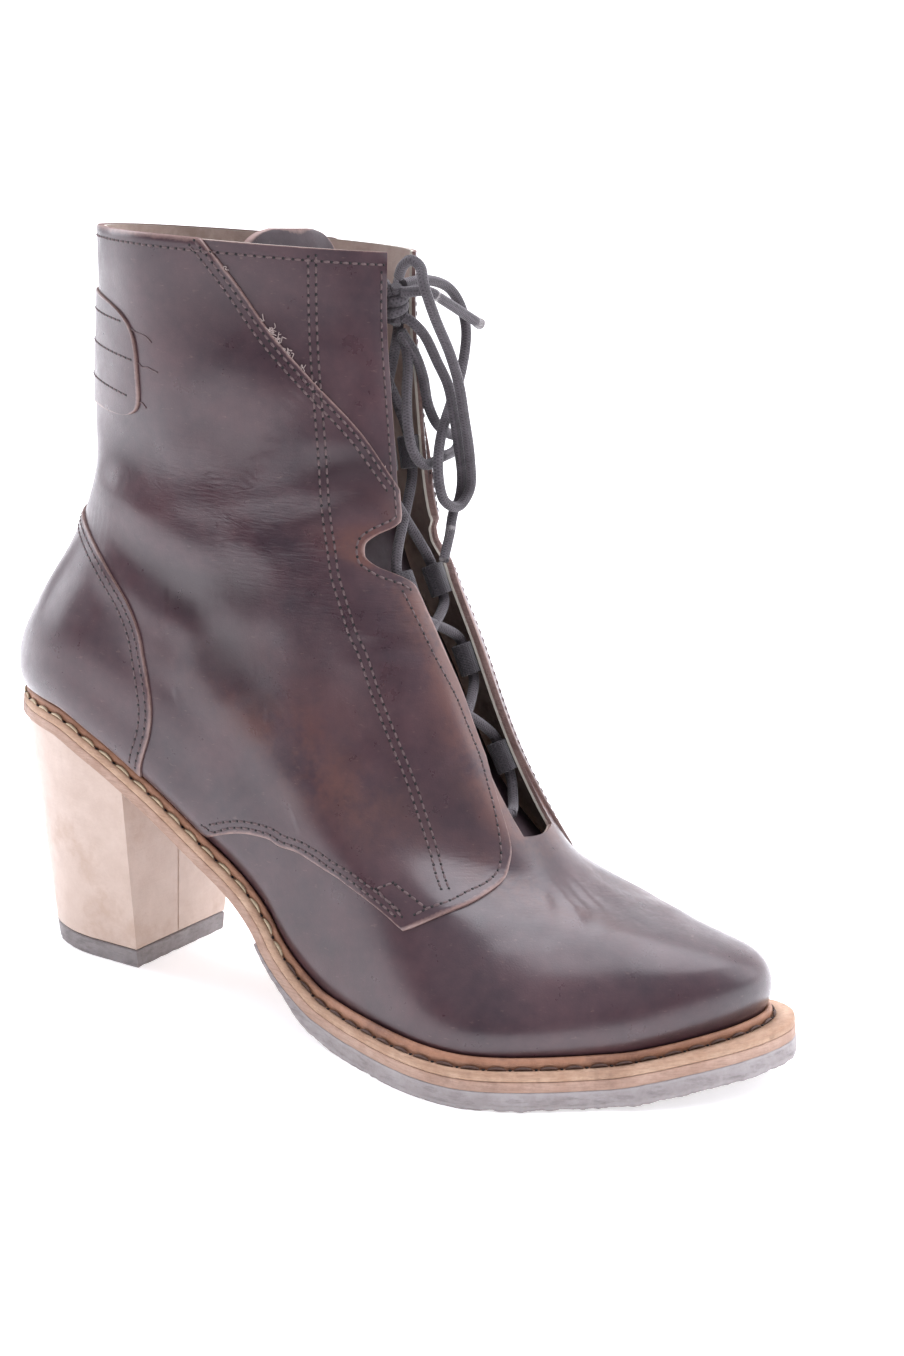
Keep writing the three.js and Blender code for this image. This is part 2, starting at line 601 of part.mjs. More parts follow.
// A point of the sole: plan point on the feather line moved out by widen, then down by depth
// at right angles to the feather line.
function solePoint(turn, widen, depth) {
  const d = 1e-3;
  const [x, y] = skin(0, turn);
  const ahead = skin(0, turn + d);
  const behind = skin(0, turn - d);
  const tangent = new THREE.Vector2(ahead[0] - behind[0], ahead[1] - behind[1]).normalize();
  return sunk(x + tangent.y * widen, y - tangent.x * widen, depth);
}

function sunk(x, y, depth) {
  const slope = (featherHeight(x + 0.5) - featherHeight(x - 0.5));
  const length = Math.hypot(slope, 1);
  return [x + (slope / length) * depth, y, featherHeight(x) - depth / length];
}

// A layer of the bottom between two depths, each a number or a function of the angle.
function layer(widen, top, bottom, half = halfTurns) {
  const value = (size, turn) => (typeof size === 'function' ? size(folded(turn)) : size);
  const open = half[0] > 0;
  const loop = mirrored(half, open ? 0 : 1);
  const at = (depth) => loop.map((turn) => solePoint(turn, value(widen, turn), value(depth, turn)));
  return loft([at(top), at(bottom)], open);
}

// Welt: the flat plate that carries the upper, with the raised rand that hugs its foot.
const RAND_CLEAR = SEAM_GAP + 0.1;
const RAND_EDGE = { height: 0.75 * RAND_HEIGHT, width: 0.85 * RAND_WIDTH };
function welt() {
  const base = layer(soleEdge, WELT_DEPTH, WELT_DEPTH + WELT_THICKNESS);
  const rand = [];
  for (const turn of turns) {
    const inner = solePoint(turn, RAND_CLEAR, WELT_DEPTH + WELT_THICKNESS / 3);
    const outer = solePoint(turn, SEAM_GAP + RAND_WIDTH, WELT_DEPTH + WELT_THICKNESS / 3);
    const top = surface(heightAbove(RAND_HEIGHT), turn, RAND_CLEAR);
    const beside = surface(heightAbove(RAND_EDGE.height), turn, SEAM_GAP);
    const edge = add(beside, outward(0.05, turn), RAND_EDGE.width);
    rand.push([inner, top, edge, outer]);
  }
  return base.add(solid(wallOf([...rand, rand[0]])).subtract(form(SEAM_GAP, 0, 1, WALL_ROWS)));
}

const outsole = () => layer(soleEdge, OUTSOLE_DEPTH, OUTSOLE_DEPTH + OUTSOLE_THICKNESS);

// Half sole of rubber under the forefoot, skived thin towards the waist.
const RUBBER_START = 85;
const RUBBER_FULL = 100;
function forefootSole() {
  const thick = (angle) => {
    const grown = clamp((angle - RUBBER_START) / (RUBBER_FULL - RUBBER_START), 0, 1);
    return RUBBER_DEPTH + mix(RUBBER_SKIVE, RUBBER_THICKNESS, grown * grown * (3 - 2 * grown));
  };
  const start = radians(RUBBER_START);
  return layer(soleEdge, RUBBER_DEPTH, thick, [start, ...halfTurns.filter((turn) => turn > start)]);
}

function insole() {
  const inside = form(-(WALL + SEAM_GAP), -heightAbove(4), 0.15, 4);
  return layer(0, -INSOLE_THICKNESS, 0).intersect(inside);
}

// Outline of the heel at a height near the floor: a straight breast and a round back.
function treadLoop(z) {
  const back = TREAD_BACK - BACK_RAKE * z;
  const breast = TREAD_BACK + TREAD_LENGTH - BREAST_RAKE * z;
  const half = (TREAD_WIDTH + SIDE_SPLAY * z) / 2;
  const side = heelShares().map((share) => {
    const reach = Math.min(share / TREAD_ROUND, 1);
    return [mix(back, breast, share), half * Math.sqrt(1 - (1 - reach) ** 2)];
  });
  const loop = side.map(([x, y]) => [x, TREAD_SHIFT - y, z]);
  return [...loop, ...side.slice(1).reverse().map(([x, y]) => [x, TREAD_SHIFT + y, z])];
}

const heelTurn = Math.acos(1 - (2 * HEEL_LENGTH) / LAST_LENGTH);
const heelTurns = [...halfTurns.filter((turn) => turn < heelTurn), heelTurn];
const heelShares = () => heelTurns.map((turn) => (1 - Math.cos(turn)) / (1 - Math.cos(heelTurn)));

function heelBlock() {
  const loop = [...heelTurns, ...heelTurns.slice(1).reverse().map((turn) => 2 * Math.PI - turn)];
  const top = loop.map((turn) => solePoint(turn, soleEdge(folded(turn)) - HEEL_INSET, RUBBER_DEPTH));
  return loft([treadLoop(LIFT_THICKNESS + SEAM_GAP), top]);
}

const heelLift = () => loft([treadLoop(0), treadLoop(LIFT_THICKNESS)]);

function tonguePoint(height, across, depth) {
  const centre = skin(height, Math.PI);
  const front = outward(height, Math.PI);
  const crown = tongueCrown(height) * TONGUE_CROWN * across * across;
  const reach = tongueSetback(height) * TONGUE_LEAN + depth + crown;
  const point = add(centre, front, -reach);
  point[1] += across * tongueHalf(height) * COLLAR_WIDTH / 2;
  return point;
}

function tongue() {
  const straight = steps(13, TONGUE[0].height, TONGUE[TONGUE_TOP_ROW].height);
  const heights = [...straight, ...column(TONGUE, 'height').slice(TONGUE_TOP_ROW + 1)];
  const across = steps(8, -1, 1);
  const grid = (depth) => heights.map((height) => across.map((share) => tonguePoint(height, share, depth)));
  const clear = form(-(WALL + SEAM_GAP), 0.2, 1.09, 24);
  return plate(grid(0), grid(TONGUE_THICKNESS)).intersect(clear);
}

// Place and directions of a webbing loop: up along the flap's edge and out of the boot.
function loopFrame(index, side) {
  const height = LOOP_HEIGHTS[index];
  const edgeTurn = (share) => {
    const smooth = mix(flapEdge(LOOP_HEIGHTS[0]), flapEdge(1), share) - LOOP_TURN;
    return side < 0 ? radians(smooth) : 2 * Math.PI - radians(smooth);
  };
  const share = (height - LOOP_HEIGHTS[0]) / (1 - LOOP_HEIGHTS[0]);
  const turn = edgeTurn(share);
  const sunkBy = WALL + SEAM_GAP + WEBBING_LOOP.depth / 2;
  const centre = surface(height, turn, -sunkBy);
  const above = surface(height + 0.01, edgeTurn(share + 0.02), -sunkBy);
  const up = new THREE.Vector3(...add(above, centre, -1)).normalize();
  const out = new THREE.Vector3(...outward(height, turn));
  const inward = new THREE.Vector3().crossVectors(up, out).normalize();
  out.crossVectors(inward, up).normalize();
  return { centre: new THREE.Vector3(...centre), up, out, inward };
}

const LOOP_SIDES = 10;
function webbingLoop(index, side) {
  const { centre, up, out, inward } = loopFrame(index, side);
  const ring = (width, depth, along) => steps(LOOP_SIDES, 0, 2 * Math.PI).slice(0, -1).map((turn) => (
    centre.clone()
      .addScaledVector(inward, (Math.cos(turn) * width) / 2)
      .addScaledVector(out, (Math.sin(turn) * depth) / 2)
      .addScaledVector(up, along)
      .toArray()
  ));
  const { length, width, depth, wall } = WEBBING_LOOP;
  const loops = [
    ring(width, depth, -length / 2),
    ring(width, depth, length / 2),
    ring(width - 2 * wall, depth - 2 * wall, length / 2),
    ring(width - 2 * wall, depth - 2 * wall, -length / 2),
    ring(width, depth, -length / 2),
  ];
  return solid(wallOf(loops));
}

// A round cord along the points.
function cord(points, diameter, sides, stepCount) {
  const route = new THREE.CatmullRomCurve3(points.map((p) => new THREE.Vector3(...p)), false, 'centripetal');
  const section = new THREE.Shape(steps(sides, 0, 2 * Math.PI).slice(0, -1).map(
    (turn) => new THREE.Vector2(Math.cos(turn), Math.sin(turn)).multiplyScalar(diameter / 2),
  ));
  const options = { steps: stepCount, bevelEnabled: false, extrudePath: route };
  const position = new THREE.ExtrudeGeometry(section, options).getAttribute('position');
  const triangles = [];
  for (let i = 0; i < position.count; i += 3) {
    triangles.push([0, 1, 2].map((k) => [position.getX(i + k), position.getY(i + k), position.getZ(i + k)]));
  }
  return solid(triangles);
}

// One half of the lacing: up through its loops, crossing over between them, to the knot.
const LACE_LEAD = 1.5;
const BAR_DROP = 3;
// The bar between the lowest loops: how far below them its middle lies (height share), and how far
// each half stops short of the middle line.
const BAR = { below: 0.035, gap: 0.8, bend: 0.6, rise: 0.5 };
// Where the two halves enter the knot, from its centre: back, to each side, up.
const KNOT_ENTRY = { back: 0.5, inner: 3, outer: -1, up: 1 };
// The last bend before the knot: share of the way across, then back and up from the top loop.
const LAST_BEND = { across: 0.55, back: 0.3, up: 1.5 };
function strand(firstSide) {
  const reach = WEBBING_LOOP.length / 2 + LACE_LEAD;
  const points = [];
  LOOP_HEIGHTS.forEach((_, index) => {
    const side = index % 2 === 0 ? firstSide : -firstSide;
    const { centre, up } = loopFrame(index, side);
    const at = (along) => centre.clone().addScaledVector(up, along).toArray();
    if (index === 0) {
      const start = at(-reach - BAR_DROP);
      const depth = WALL + SEAM_GAP + WEBBING_LOOP.depth / 2;
      const middle = surface(LOOP_HEIGHTS[0] - BAR.below, Math.PI, -depth);
      points.push([middle[0], -Math.sign(start[1]) * BAR.gap, middle[2]]);
      points.push([mix(middle[0], start[0], BAR.bend), start[1] * BAR.bend, middle[2] + BAR.rise]);
    }
    points.push(at(-reach), at(0), at(reach));
  });
  const last = points[points.length - 1];
  const aside = last[1] > 0 ? KNOT_ENTRY.inner : KNOT_ENTRY.outer;
  const end = [KNOT_CENTRE[0] - KNOT_ENTRY.back, KNOT_CENTRE[1] + aside, KNOT_CENTRE[2] + KNOT_ENTRY.up];
  const bend = mix(last[0], end[0], 0.5) - LAST_BEND.back;
  points.push([bend, mix(last[1], end[1], LAST_BEND.across), last[2] + LAST_BEND.up], end);
  return cord(points, LACE_DIAMETER, 8, 42);
}

// A power under 1 squares the ball's shoulders.
const KNOT_SHOULDER = 0.7;
function knot(grow = 0) {
  const rows = 8;
  const sides = 12;
  const ball = steps(rows, 0, Math.PI).map((lift) => steps(sides, 0, 2 * Math.PI).slice(0, -1).map((turn) => [
    KNOT_CENTRE[0] + (KNOT.depth / 2 + grow) * Math.sin(lift) ** KNOT_SHOULDER * Math.cos(turn),
    KNOT_CENTRE[1] + (KNOT.width / 2 + grow) * Math.sin(lift) ** KNOT_SHOULDER * Math.sin(turn),
    KNOT_CENTRE[2] - (KNOT.height / 2 + grow) * Math.cos(lift),
  ]));
  return loft(ball);
}

// A piece of free cord, cut back from the knot.
const freeCord = (points, stepCount) => cord(points, LACE_DIAMETER, 8, stepCount).subtract(knot(SEAM_GAP));

const boot = new THREE.Group();

function place(name, made, finish) {
  const mesh = made.getMesh();
  const geometry = new THREE.BufferGeometry();
  const points = new Float32Array(mesh.numVert * 3);
  for (let i = 0; i < mesh.numVert; i++) {
    points.set(mesh.vertProperties.subarray(i * mesh.numProp, i * mesh.numProp + 3), i * 3);
  }
  geometry.setAttribute('position', new THREE.BufferAttribute(points, 3));
  geometry.setIndex(new THREE.BufferAttribute(new Uint32Array(mesh.triVerts), 1));
  geometry.computeVertexNormals();
  const piece = new THREE.Mesh(geometry, new THREE.MeshStandardMaterial(finish));
  piece.name = name;
  boot.add(piece);
}

place('upper', upper(), LEATHER_BROWN);
place('tongue', tongue(), TONGUE_BROWN);
place('insole', insole(), INSOLE_BEIGE);
place('welt', welt(), WELT_TAN);
place('outsole', outsole(), SOLE_TAN);
place('forefoot_sole', forefootSole(), RUBBER_GREY);
place('heel_block', heelBlock(), HEEL_TAN);
place('heel_lift', heelLift(), RUBBER_GREY);
LOOP_NAMES.forEach((name, index) => {
  place(`webbing_loop_outer_${name}`, webbingLoop(index, -1), WEBBING_DARK);
  place(`webbing_loop_inner_${name}`, webbingLoop(index, 1), WEBBING_DARK);
});
place('lacing', strand(-1).add(strand(1)).subtract(knot(SEAM_GAP)), LACE_BROWN);
place('lace_knot', knot(), LACE_BROWN);
place('lace_loop_large', freeCord(LARGE_LOOP, 32), LACE_BROWN);
place('lace_loop_small', freeCord(SMALL_LOOP, 22), LACE_BROWN);
place('lace_end_long', freeCord(LONG_END, 14), LACE_BROWN);
place('lace_end_short', freeCord(SHORT_END, 4), LACE_BROWN);
place('aglet_long', cord(LONG_AGLET, AGLET_DIAMETER, 8, 1), AGLET_GREY);
place('aglet_short', cord(SHORT_AGLET, AGLET_DIAMETER, 8, 1), AGLET_GREY);

boot.position.set(-(TREAD_BACK + TREAD_LENGTH / 2), -TREAD_SHIFT, 0);

export default boot;
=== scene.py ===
"""Right ankle boot of glossy dark brown leather: laced upper, stitched welt, rubber forefoot, block heel.

Shapes are worked out in millimetres in the frame of the last (X to the toe, Y to the inner side of the
foot, Z up, x = 0 at the back of the heel seat) and written to Blender in metres in the row's frame.
"""

import logging
import math
from dataclasses import dataclass, field
from enum import Enum
from typing import Callable, Iterable, Sequence

import bpy
import numpy as np
from mathutils import Matrix, Vector


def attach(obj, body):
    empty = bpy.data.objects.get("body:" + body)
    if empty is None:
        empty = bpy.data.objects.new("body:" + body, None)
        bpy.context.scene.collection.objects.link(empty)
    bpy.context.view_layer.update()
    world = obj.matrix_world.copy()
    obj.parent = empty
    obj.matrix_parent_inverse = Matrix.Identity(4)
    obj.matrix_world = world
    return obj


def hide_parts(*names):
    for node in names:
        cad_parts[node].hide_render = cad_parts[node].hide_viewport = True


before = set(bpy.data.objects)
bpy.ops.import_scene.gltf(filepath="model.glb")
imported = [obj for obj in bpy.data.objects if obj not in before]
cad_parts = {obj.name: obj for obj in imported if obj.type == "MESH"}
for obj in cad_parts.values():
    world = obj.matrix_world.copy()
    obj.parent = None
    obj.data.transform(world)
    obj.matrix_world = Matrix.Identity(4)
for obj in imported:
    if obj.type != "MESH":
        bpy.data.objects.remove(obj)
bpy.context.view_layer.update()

LOG = logging.getLogger("ankle_boot")
MM = 0.001
TREAD_MIDDLE = np.array([33.2, -1.9, 0.0])
BODY = "root"
GAP = 0.3
Array = np.ndarray
Material = bpy.types.Material
Piece = bpy.types.Object
Socket = bpy.types.NodeSocket
NodeTree = bpy.types.NodeTree
Pair = tuple[float, float]
Point = tuple[float, float, float]
Curve = tuple[Pair, ...]
Line = tuple[Point, ...]


class Side(Enum):
    """The two sides of the boot, by the sign of Y."""

    OUTER = -1
    INNER = 1


def to_row(points: Array) -> Array:
    """Points of the last, in millimetres, in the row's frame in metres."""
    return (np.asarray(points, float) - TREAD_MIDDLE) * MM


def unit(vectors: Array) -> Array:
    """Vectors of length one along the last axis."""
    return vectors / np.maximum(np.linalg.norm(vectors, axis=-1, keepdims=True), 1e-12)


def distances(line: Array) -> Array:
    """Distance along a line at each of its points."""
    return np.concatenate([[0], np.cumsum(np.linalg.norm(np.diff(line, axis=0), axis=1))])


def circles(angle: Array, across: Array, other: Array) -> Array:
    """A circle of radius one for each pair of directions across a line."""
    return np.cos(angle)[None, :, None] * across[:, None] + np.sin(angle)[None, :, None] * other[:, None]


def smoothstep(low: float, high: float, x: Array) -> Array:
    """0 below low, 1 above high and a soft rise between them."""
    t = np.clip((np.asarray(x, float) - low) / (high - low), 0.0, 1.0)
    return t * t * (3.0 - 2.0 * t)


class NaturalSpline:
    """A natural cubic spline through rows of values, straight on past both ends."""

    def __init__(self, xs: Sequence[float], ys: Array) -> None:
        """Solves the spline's bends.

        Args:
            xs: Rising stations.
            ys: One row of values for each station.
        """
        self.xs = np.asarray(xs, float)
        self.ys = np.asarray(ys, float)
        n = len(self.xs)
        system = np.eye(n)
        rhs = np.zeros_like(self.ys)
        for i in range(1, n - 1):
            before = self.xs[i] - self.xs[i - 1]
            after = self.xs[i + 1] - self.xs[i]
            system[i, i - 1:i + 2] = before, 2 * (before + after), after
            rise = (self.ys[i + 1] - self.ys[i]) / after - (self.ys[i] - self.ys[i - 1]) / before
            rhs[i] = 6 * rise
        self.bend = np.linalg.solve(system, rhs)

    def at(self, x: Array) -> Array:
        """Values at x.

        Args:
            x: Stations of any shape.

        Returns:
            An array of x's shape with one more axis for the values.
        """
        x = np.asarray(x, float)
        inside = np.clip(x, self.xs[0], self.xs[-1])
        i = np.clip(np.searchsorted(self.xs, inside, side="right") - 1, 0, len(self.xs) - 2)
        h = (self.xs[i + 1] - self.xs[i])[..., None]
        b = (inside - self.xs[i])[..., None] / h
        a = 1 - b
        low, high = self.ys[i], self.ys[i + 1]
        bend_low, bend_high = self.bend[i], self.bend[i + 1]
        value = a * low + b * high + ((a**3 - a) * bend_low + (b**3 - b) * bend_high) * h * h / 6
        slope = (high - low) / h + ((1 - 3 * a * a) * bend_low + (3 * b * b - 1) * bend_high) * h / 6
        return value + slope * (x - inside)[..., None]


class SteadyCurve:
    """A curve through points that never swings past them, straight on past both ends."""

    def __init__(self, table: Sequence[Pair]) -> None:
        """Works out the slopes.

        Args:
            table: Pairs of station and value, stations rising.
        """
        self.xs, self.ys = np.asarray(table, float).T
        n = len(self.xs)
        step = np.diff(self.xs)
        rise = np.diff(self.ys) / step
        self.slope = np.zeros(n)
        self.slope[0], self.slope[-1] = rise[0], rise[-1]
        for i in range(1, n - 1):
            if rise[i - 1] * rise[i] > 0:
                a = 2 * step[i] + step[i - 1]
                b = step[i] + 2 * step[i - 1]
                self.slope[i] = (a + b) / (a / rise[i - 1] + b / rise[i])

    def at(self, x: Array) -> Array:
        """Values at x, of x's shape.

        Args:
            x: Stations of any shape.

        Returns:
            One value for each station.
        """
        x = np.asarray(x, float)
        inside = np.clip(x, self.xs[0], self.xs[-1])
        i = np.clip(np.searchsorted(self.xs, inside, side="right") - 1, 0, len(self.xs) - 2)
        h = self.xs[i + 1] - self.xs[i]
        t = (inside - self.xs[i]) / h
        blend = t * t * (3 - 2 * t)
        value = self.ys[i] + (self.ys[i + 1] - self.ys[i]) * blend
        value = value + h * t * (1 - t) * ((1 - t) * self.slope[i] - t * self.slope[i + 1])
        end = np.where(x < self.xs[0], self.slope[0], self.slope[-1])
        return value + end * (x - inside)


@dataclass
class Last:
    """The form that the upper is drawn over, with the seams that are marked on it."""

    length: float = 234.0
    ball_width: float = 86.0
    collar_width: float = 71.0
    seat_height: float = 76.0
    counter_height: float = 66.0
    shaft_height: float = 75.0
    toe_spring: float = 6.5
    stack: float = 11.0
    angles: tuple[float, ...] = (0, 20, 45, 70, 95, 120, 140, 160, 180)
    # Each ring: back x, back rise to the counter, back rise of the shaft, front x, front rise to the
    # instep, front rise of the shaft, level, girth (0 ball, 1 collar), seven half widths at the angles
    # between back and front, eight sideways shifts at 0, 45, 70, 95, 120, 140, 160 and 180 degrees.
    rings: tuple[tuple[float, ...], ...] = (
        (0, 0, 0, 1, 0, 0, 0, 0,
         .385, .675, .6, .7, 1.015, .735, .39, -.03, -.035, -.085, -.14, -.13, .13, .31, .4),
        (-.014, .11, 0, 1.01, .112, 0, .03, 0,
         .415, .735, .72, .79, 1.04, .765, .41, -.03, -.035, -.065, -.12, -.13, .12, .29, .38),
        (-.012, .24, 0, .996, .182, 0, .15, 0,
         .42, .74, .76, .82, .95, .68, .38, -.03, -.03, -.04, -.1, -.12, .09, .24, .31),
        (.004, .38, 0, .938, .222, 0, .35, 0,
         .41, .73, .77, .82, .85, .6, .34, -.03, -.03, -.03, -.07, -.09, .06, .15, .19),
        (.028, .54, 0, .828, .268, 0, .6, 0,
         .39, .7, .76, .8, .77, .55, .31, -.03, -.03, -.02, -.04, -.06, .02, .07, .09),
        (.054, .7, 0, .748, .35, 0, .85, 0,
         .37, .67, .75, .78, .71, .54, .32, -.02, -.02, -.02, -.02, -.02, .01, .03, .04),
        (.074, .86, 0, .668, .55, 0, 1, 0,
         .34, .63, .73, .74, .66, .54, .34, -.02, -.02, -.02, -.02, 0, 0, .01, .02),
        (.084, 1, .04, .605, .77, 0, 1, 0,
         .32, .61, .73, .73, .64, .53, .33, -.02, -.02, -.02, -.02, 0, 0, 0, 0),
        (.086, 1, .24, .55, .96, 0, 1, 1,
         .34, .67, .85, .87, .76, .61, .37, -.02, -.02, -.02, -.02, 0, 0, 0, 0),
        (.084, 1, .44, .525, 1, .24, 1, 1,
         .33, .67, .89, .91, .79, .59, .33, -.02, -.02, -.02, -.02, 0, 0, 0, 0),
        (.08, 1, .72, .5, 1, .62, 1, 1,
         .33, .68, .92, .95, .81, .59, .32, -.02, -.02, -.02, -.02, 0, 0, 0, 0),
        (.074, 1, 1, .489, 1, 1.01, 1, 1,
         .33, .69, .95, .99, .84, .61, .32, -.02, -.02, -.02, -.02, 0, 0, 0, 0),
    )
    # Feather line in side view: share of the length, share of the way up to the heel seat, toe spring.
    feather_line: Line = (
        (0, 1.005, 0), (.107, .98, 0), (.179, .886, 0), (.253, .743, 0), (.336, .552, 0), (.408, .389, 0),
        (.446, .265, 0), (.465, .178, 0), (.505, .072, 0), (.545, .015, 0), (.6, 0, 0), (.74, 0, 0),
        (.82, 0, .08), (.9, 0, .15), (.934, 0, .37), (.97, 0, .7), (1, 0, .95), (1.05, 0, 1.3),
    )
    # Seams, by height share and degrees round from the back.
    flap_table: Curve = (
        (.3, 169), (.46, 168.5), (.52, 168), (.588, 168.5), (.638, 166.5), (.669, 165), (.69, 163.5),
        (.698, 158), (.704, 148), (.712, 144), (.724, 145), (.74, 152), (.75, 160), (.758, 164.5),
        (.77, 165.5), (1, 166.5), (1.1, 166.5),
    )
    quarter_table: Curve = (
        (70.5, 0), (73, .06), (76.5, .12), (82, .193), (87, .243), (94, .281), (100, .288), (104.5, .279),
        (108.5, .262), (111, .245), (118, .281), (130, .331), (143, .388), (152, .432), (160, .47),
        (165, .512), (170, .56), (180, .62),
    )
    diagonal_table: Curve = (
        (94, 1.006), (107, .962), (118, .921), (131, .885), (150, .84), (161, .806), (180, .745),
    )
    counter_table: Curve = (
        (.04, 60.5), (.2, 63), (.34, 64), (.43, 62.5), (.488, 58), (.525, 49), (.548, 37), (.56, 20),
        (.564, 0),
    )

    def __post_init__(self) -> None:
        """Turns the tables into curves."""
        instep = self.seat_height + self.counter_height - self.stack
        rise = self.seat_height - self.stack
        self._feather = SteadyCurve([
            (x * self.length, self.stack + rise * seat + self.toe_spring * spring)
            for x, seat, spring in self.feather_line
        ])
        rows = []
        for i, ring in enumerate(self.rings):
            half = (self.collar_width if ring[7] else self.ball_width) / 2
            back_x, front_x = ring[0] * self.length, ring[3] * self.length
            back_z = self.seat_height + ring[1] * self.counter_height + ring[2] * self.shaft_height
            front_z = self.stack + ring[4] * instep + ring[5] * self.shaft_height
            if i == 0:
                back_z, front_z = self.feather([back_x, front_x])
            widths = [0, *(share * half for share in ring[8:15]), 0]
            shifts = [share * self.ball_width / 2 for share in (ring[15], *ring[15:])]
            rows.append([back_x, back_z, front_x, front_z, ring[6], *widths, *shifts])
        self._rows = NaturalSpline(np.linspace(0, 1, len(rows)), np.array(rows))
        turn = np.radians(self.angles)
        stations = [*(-turn[:0:-1]), *turn, *(2 * np.pi - turn[-2::-1])]
        self._around = {}
        for sign in (-1, 1):
            same = np.eye(len(turn))
            weights = [*(sign * same[:0:-1]), *same, *(sign * same[-2::-1])]
            self._around[sign] = NaturalSpline(stations, weights)
        self.flap = SteadyCurve(self.flap_table)
        self.counter = SteadyCurve(self.counter_table)
        self.diagonal = SteadyCurve(self.diagonal_table)
        self.tip = min(self.quarter_table[5:-5], key=lambda pair: pair[1])[0]
        self._quarter = [
            SteadyCurve([pair for pair in self.quarter_table if keep(pair[0])])
            for keep in (lambda angle: angle <= self.tip, lambda angle: angle >= self.tip)
        ]

    def feather(self, x: Array) -> Array:
        """Height of the feather line, where the upper meets the sole, at x."""
        return self._feather.at(np.maximum(x, 0.0))

    def quarter(self, degrees: Array) -> Array:
        """Height share of the quarter's lower edge at an angle from the back."""
        back, front = (curve.at(degrees) for curve in self._quarter)
        return np.where(np.asarray(degrees) < self.tip, back, front)

    def skin(self, height: Array, turn: Array) -> Array:
        """Points of the last's skin.

        Args:
            height: 0 at the feather line, 1 at the collar.
            turn: Radians round from the back, outer side first.

        Returns:
            Points in millimetres, with one more axis than height.
        """
        height, turn = np.broadcast_arrays(np.asarray(height, float), np.asarray(turn, float))
        row = self._rows.at(height)
        back_x, back_z, front_x, front_z, level = (row[..., k] for k in range(5))
        around = np.mod(turn, 2 * np.pi)
        side = np.where(around <= np.pi, -1.0, 1.0)
        around = np.where(around <= np.pi, around, 2 * np.pi - around)
        width = (self._around[-1].at(around) * row[..., 5:14]).sum(-1)
        shift = (self._around[1].at(around) * row[..., 14:23]).sum(-1)
        along = (1 - np.cos(around)) / 2
        x = back_x + (front_x - back_x) * along
        back_lift = back_z - self.feather(back_x)
        front_lift = front_z - self.feather(front_x)
        low = self.feather(x) + back_lift + (front_lift - back_lift) * along
        flat = back_z + (front_z - back_z) * along
        z = low + (flat - low) * np.clip(level, 0, 1)
        return np.stack([x, shift + side * width, z], -1)

    def outward(self, height: Array, turn: Array) -> Array:
        """Unit normals of the skin, out of the boot."""
        d = 1e-3
        up = self.skin(height + d, turn) - self.skin(height - d, turn)
        along = self.skin(height, turn + d) - self.skin(height, turn - d)
        return unit(np.cross(along, up))

    def surface(self, height: Array, turn: Array, offset: Array = 0.0) -> Array:
        """Skin points moved out by offset millimetres."""
        height, turn = np.asarray(height, float), np.asarray(turn, float)
        return self.skin(height, turn) + self.outward(height, turn) * np.asarray(offset, float)[..., None]

    def above(self, millimetres: float) -> float:
        """Height share of a level this far above the feather line, near the bottom."""
        return millimetres / (self.rings[1][1] * self.counter_height) / (len(self.rings) - 1)


def folded(turn: Array) -> Array:
    """Degrees from the back on either side."""
    turn = np.mod(np.asarray(turn, float), 2 * np.pi)
    return np.degrees(np.minimum(turn, 2 * np.pi - turn))


@dataclass(frozen=True)
class Fold:
    """One soft trough of the leather, along points given by height share and degrees."""

    points: Curve
    width: float
    depth: float


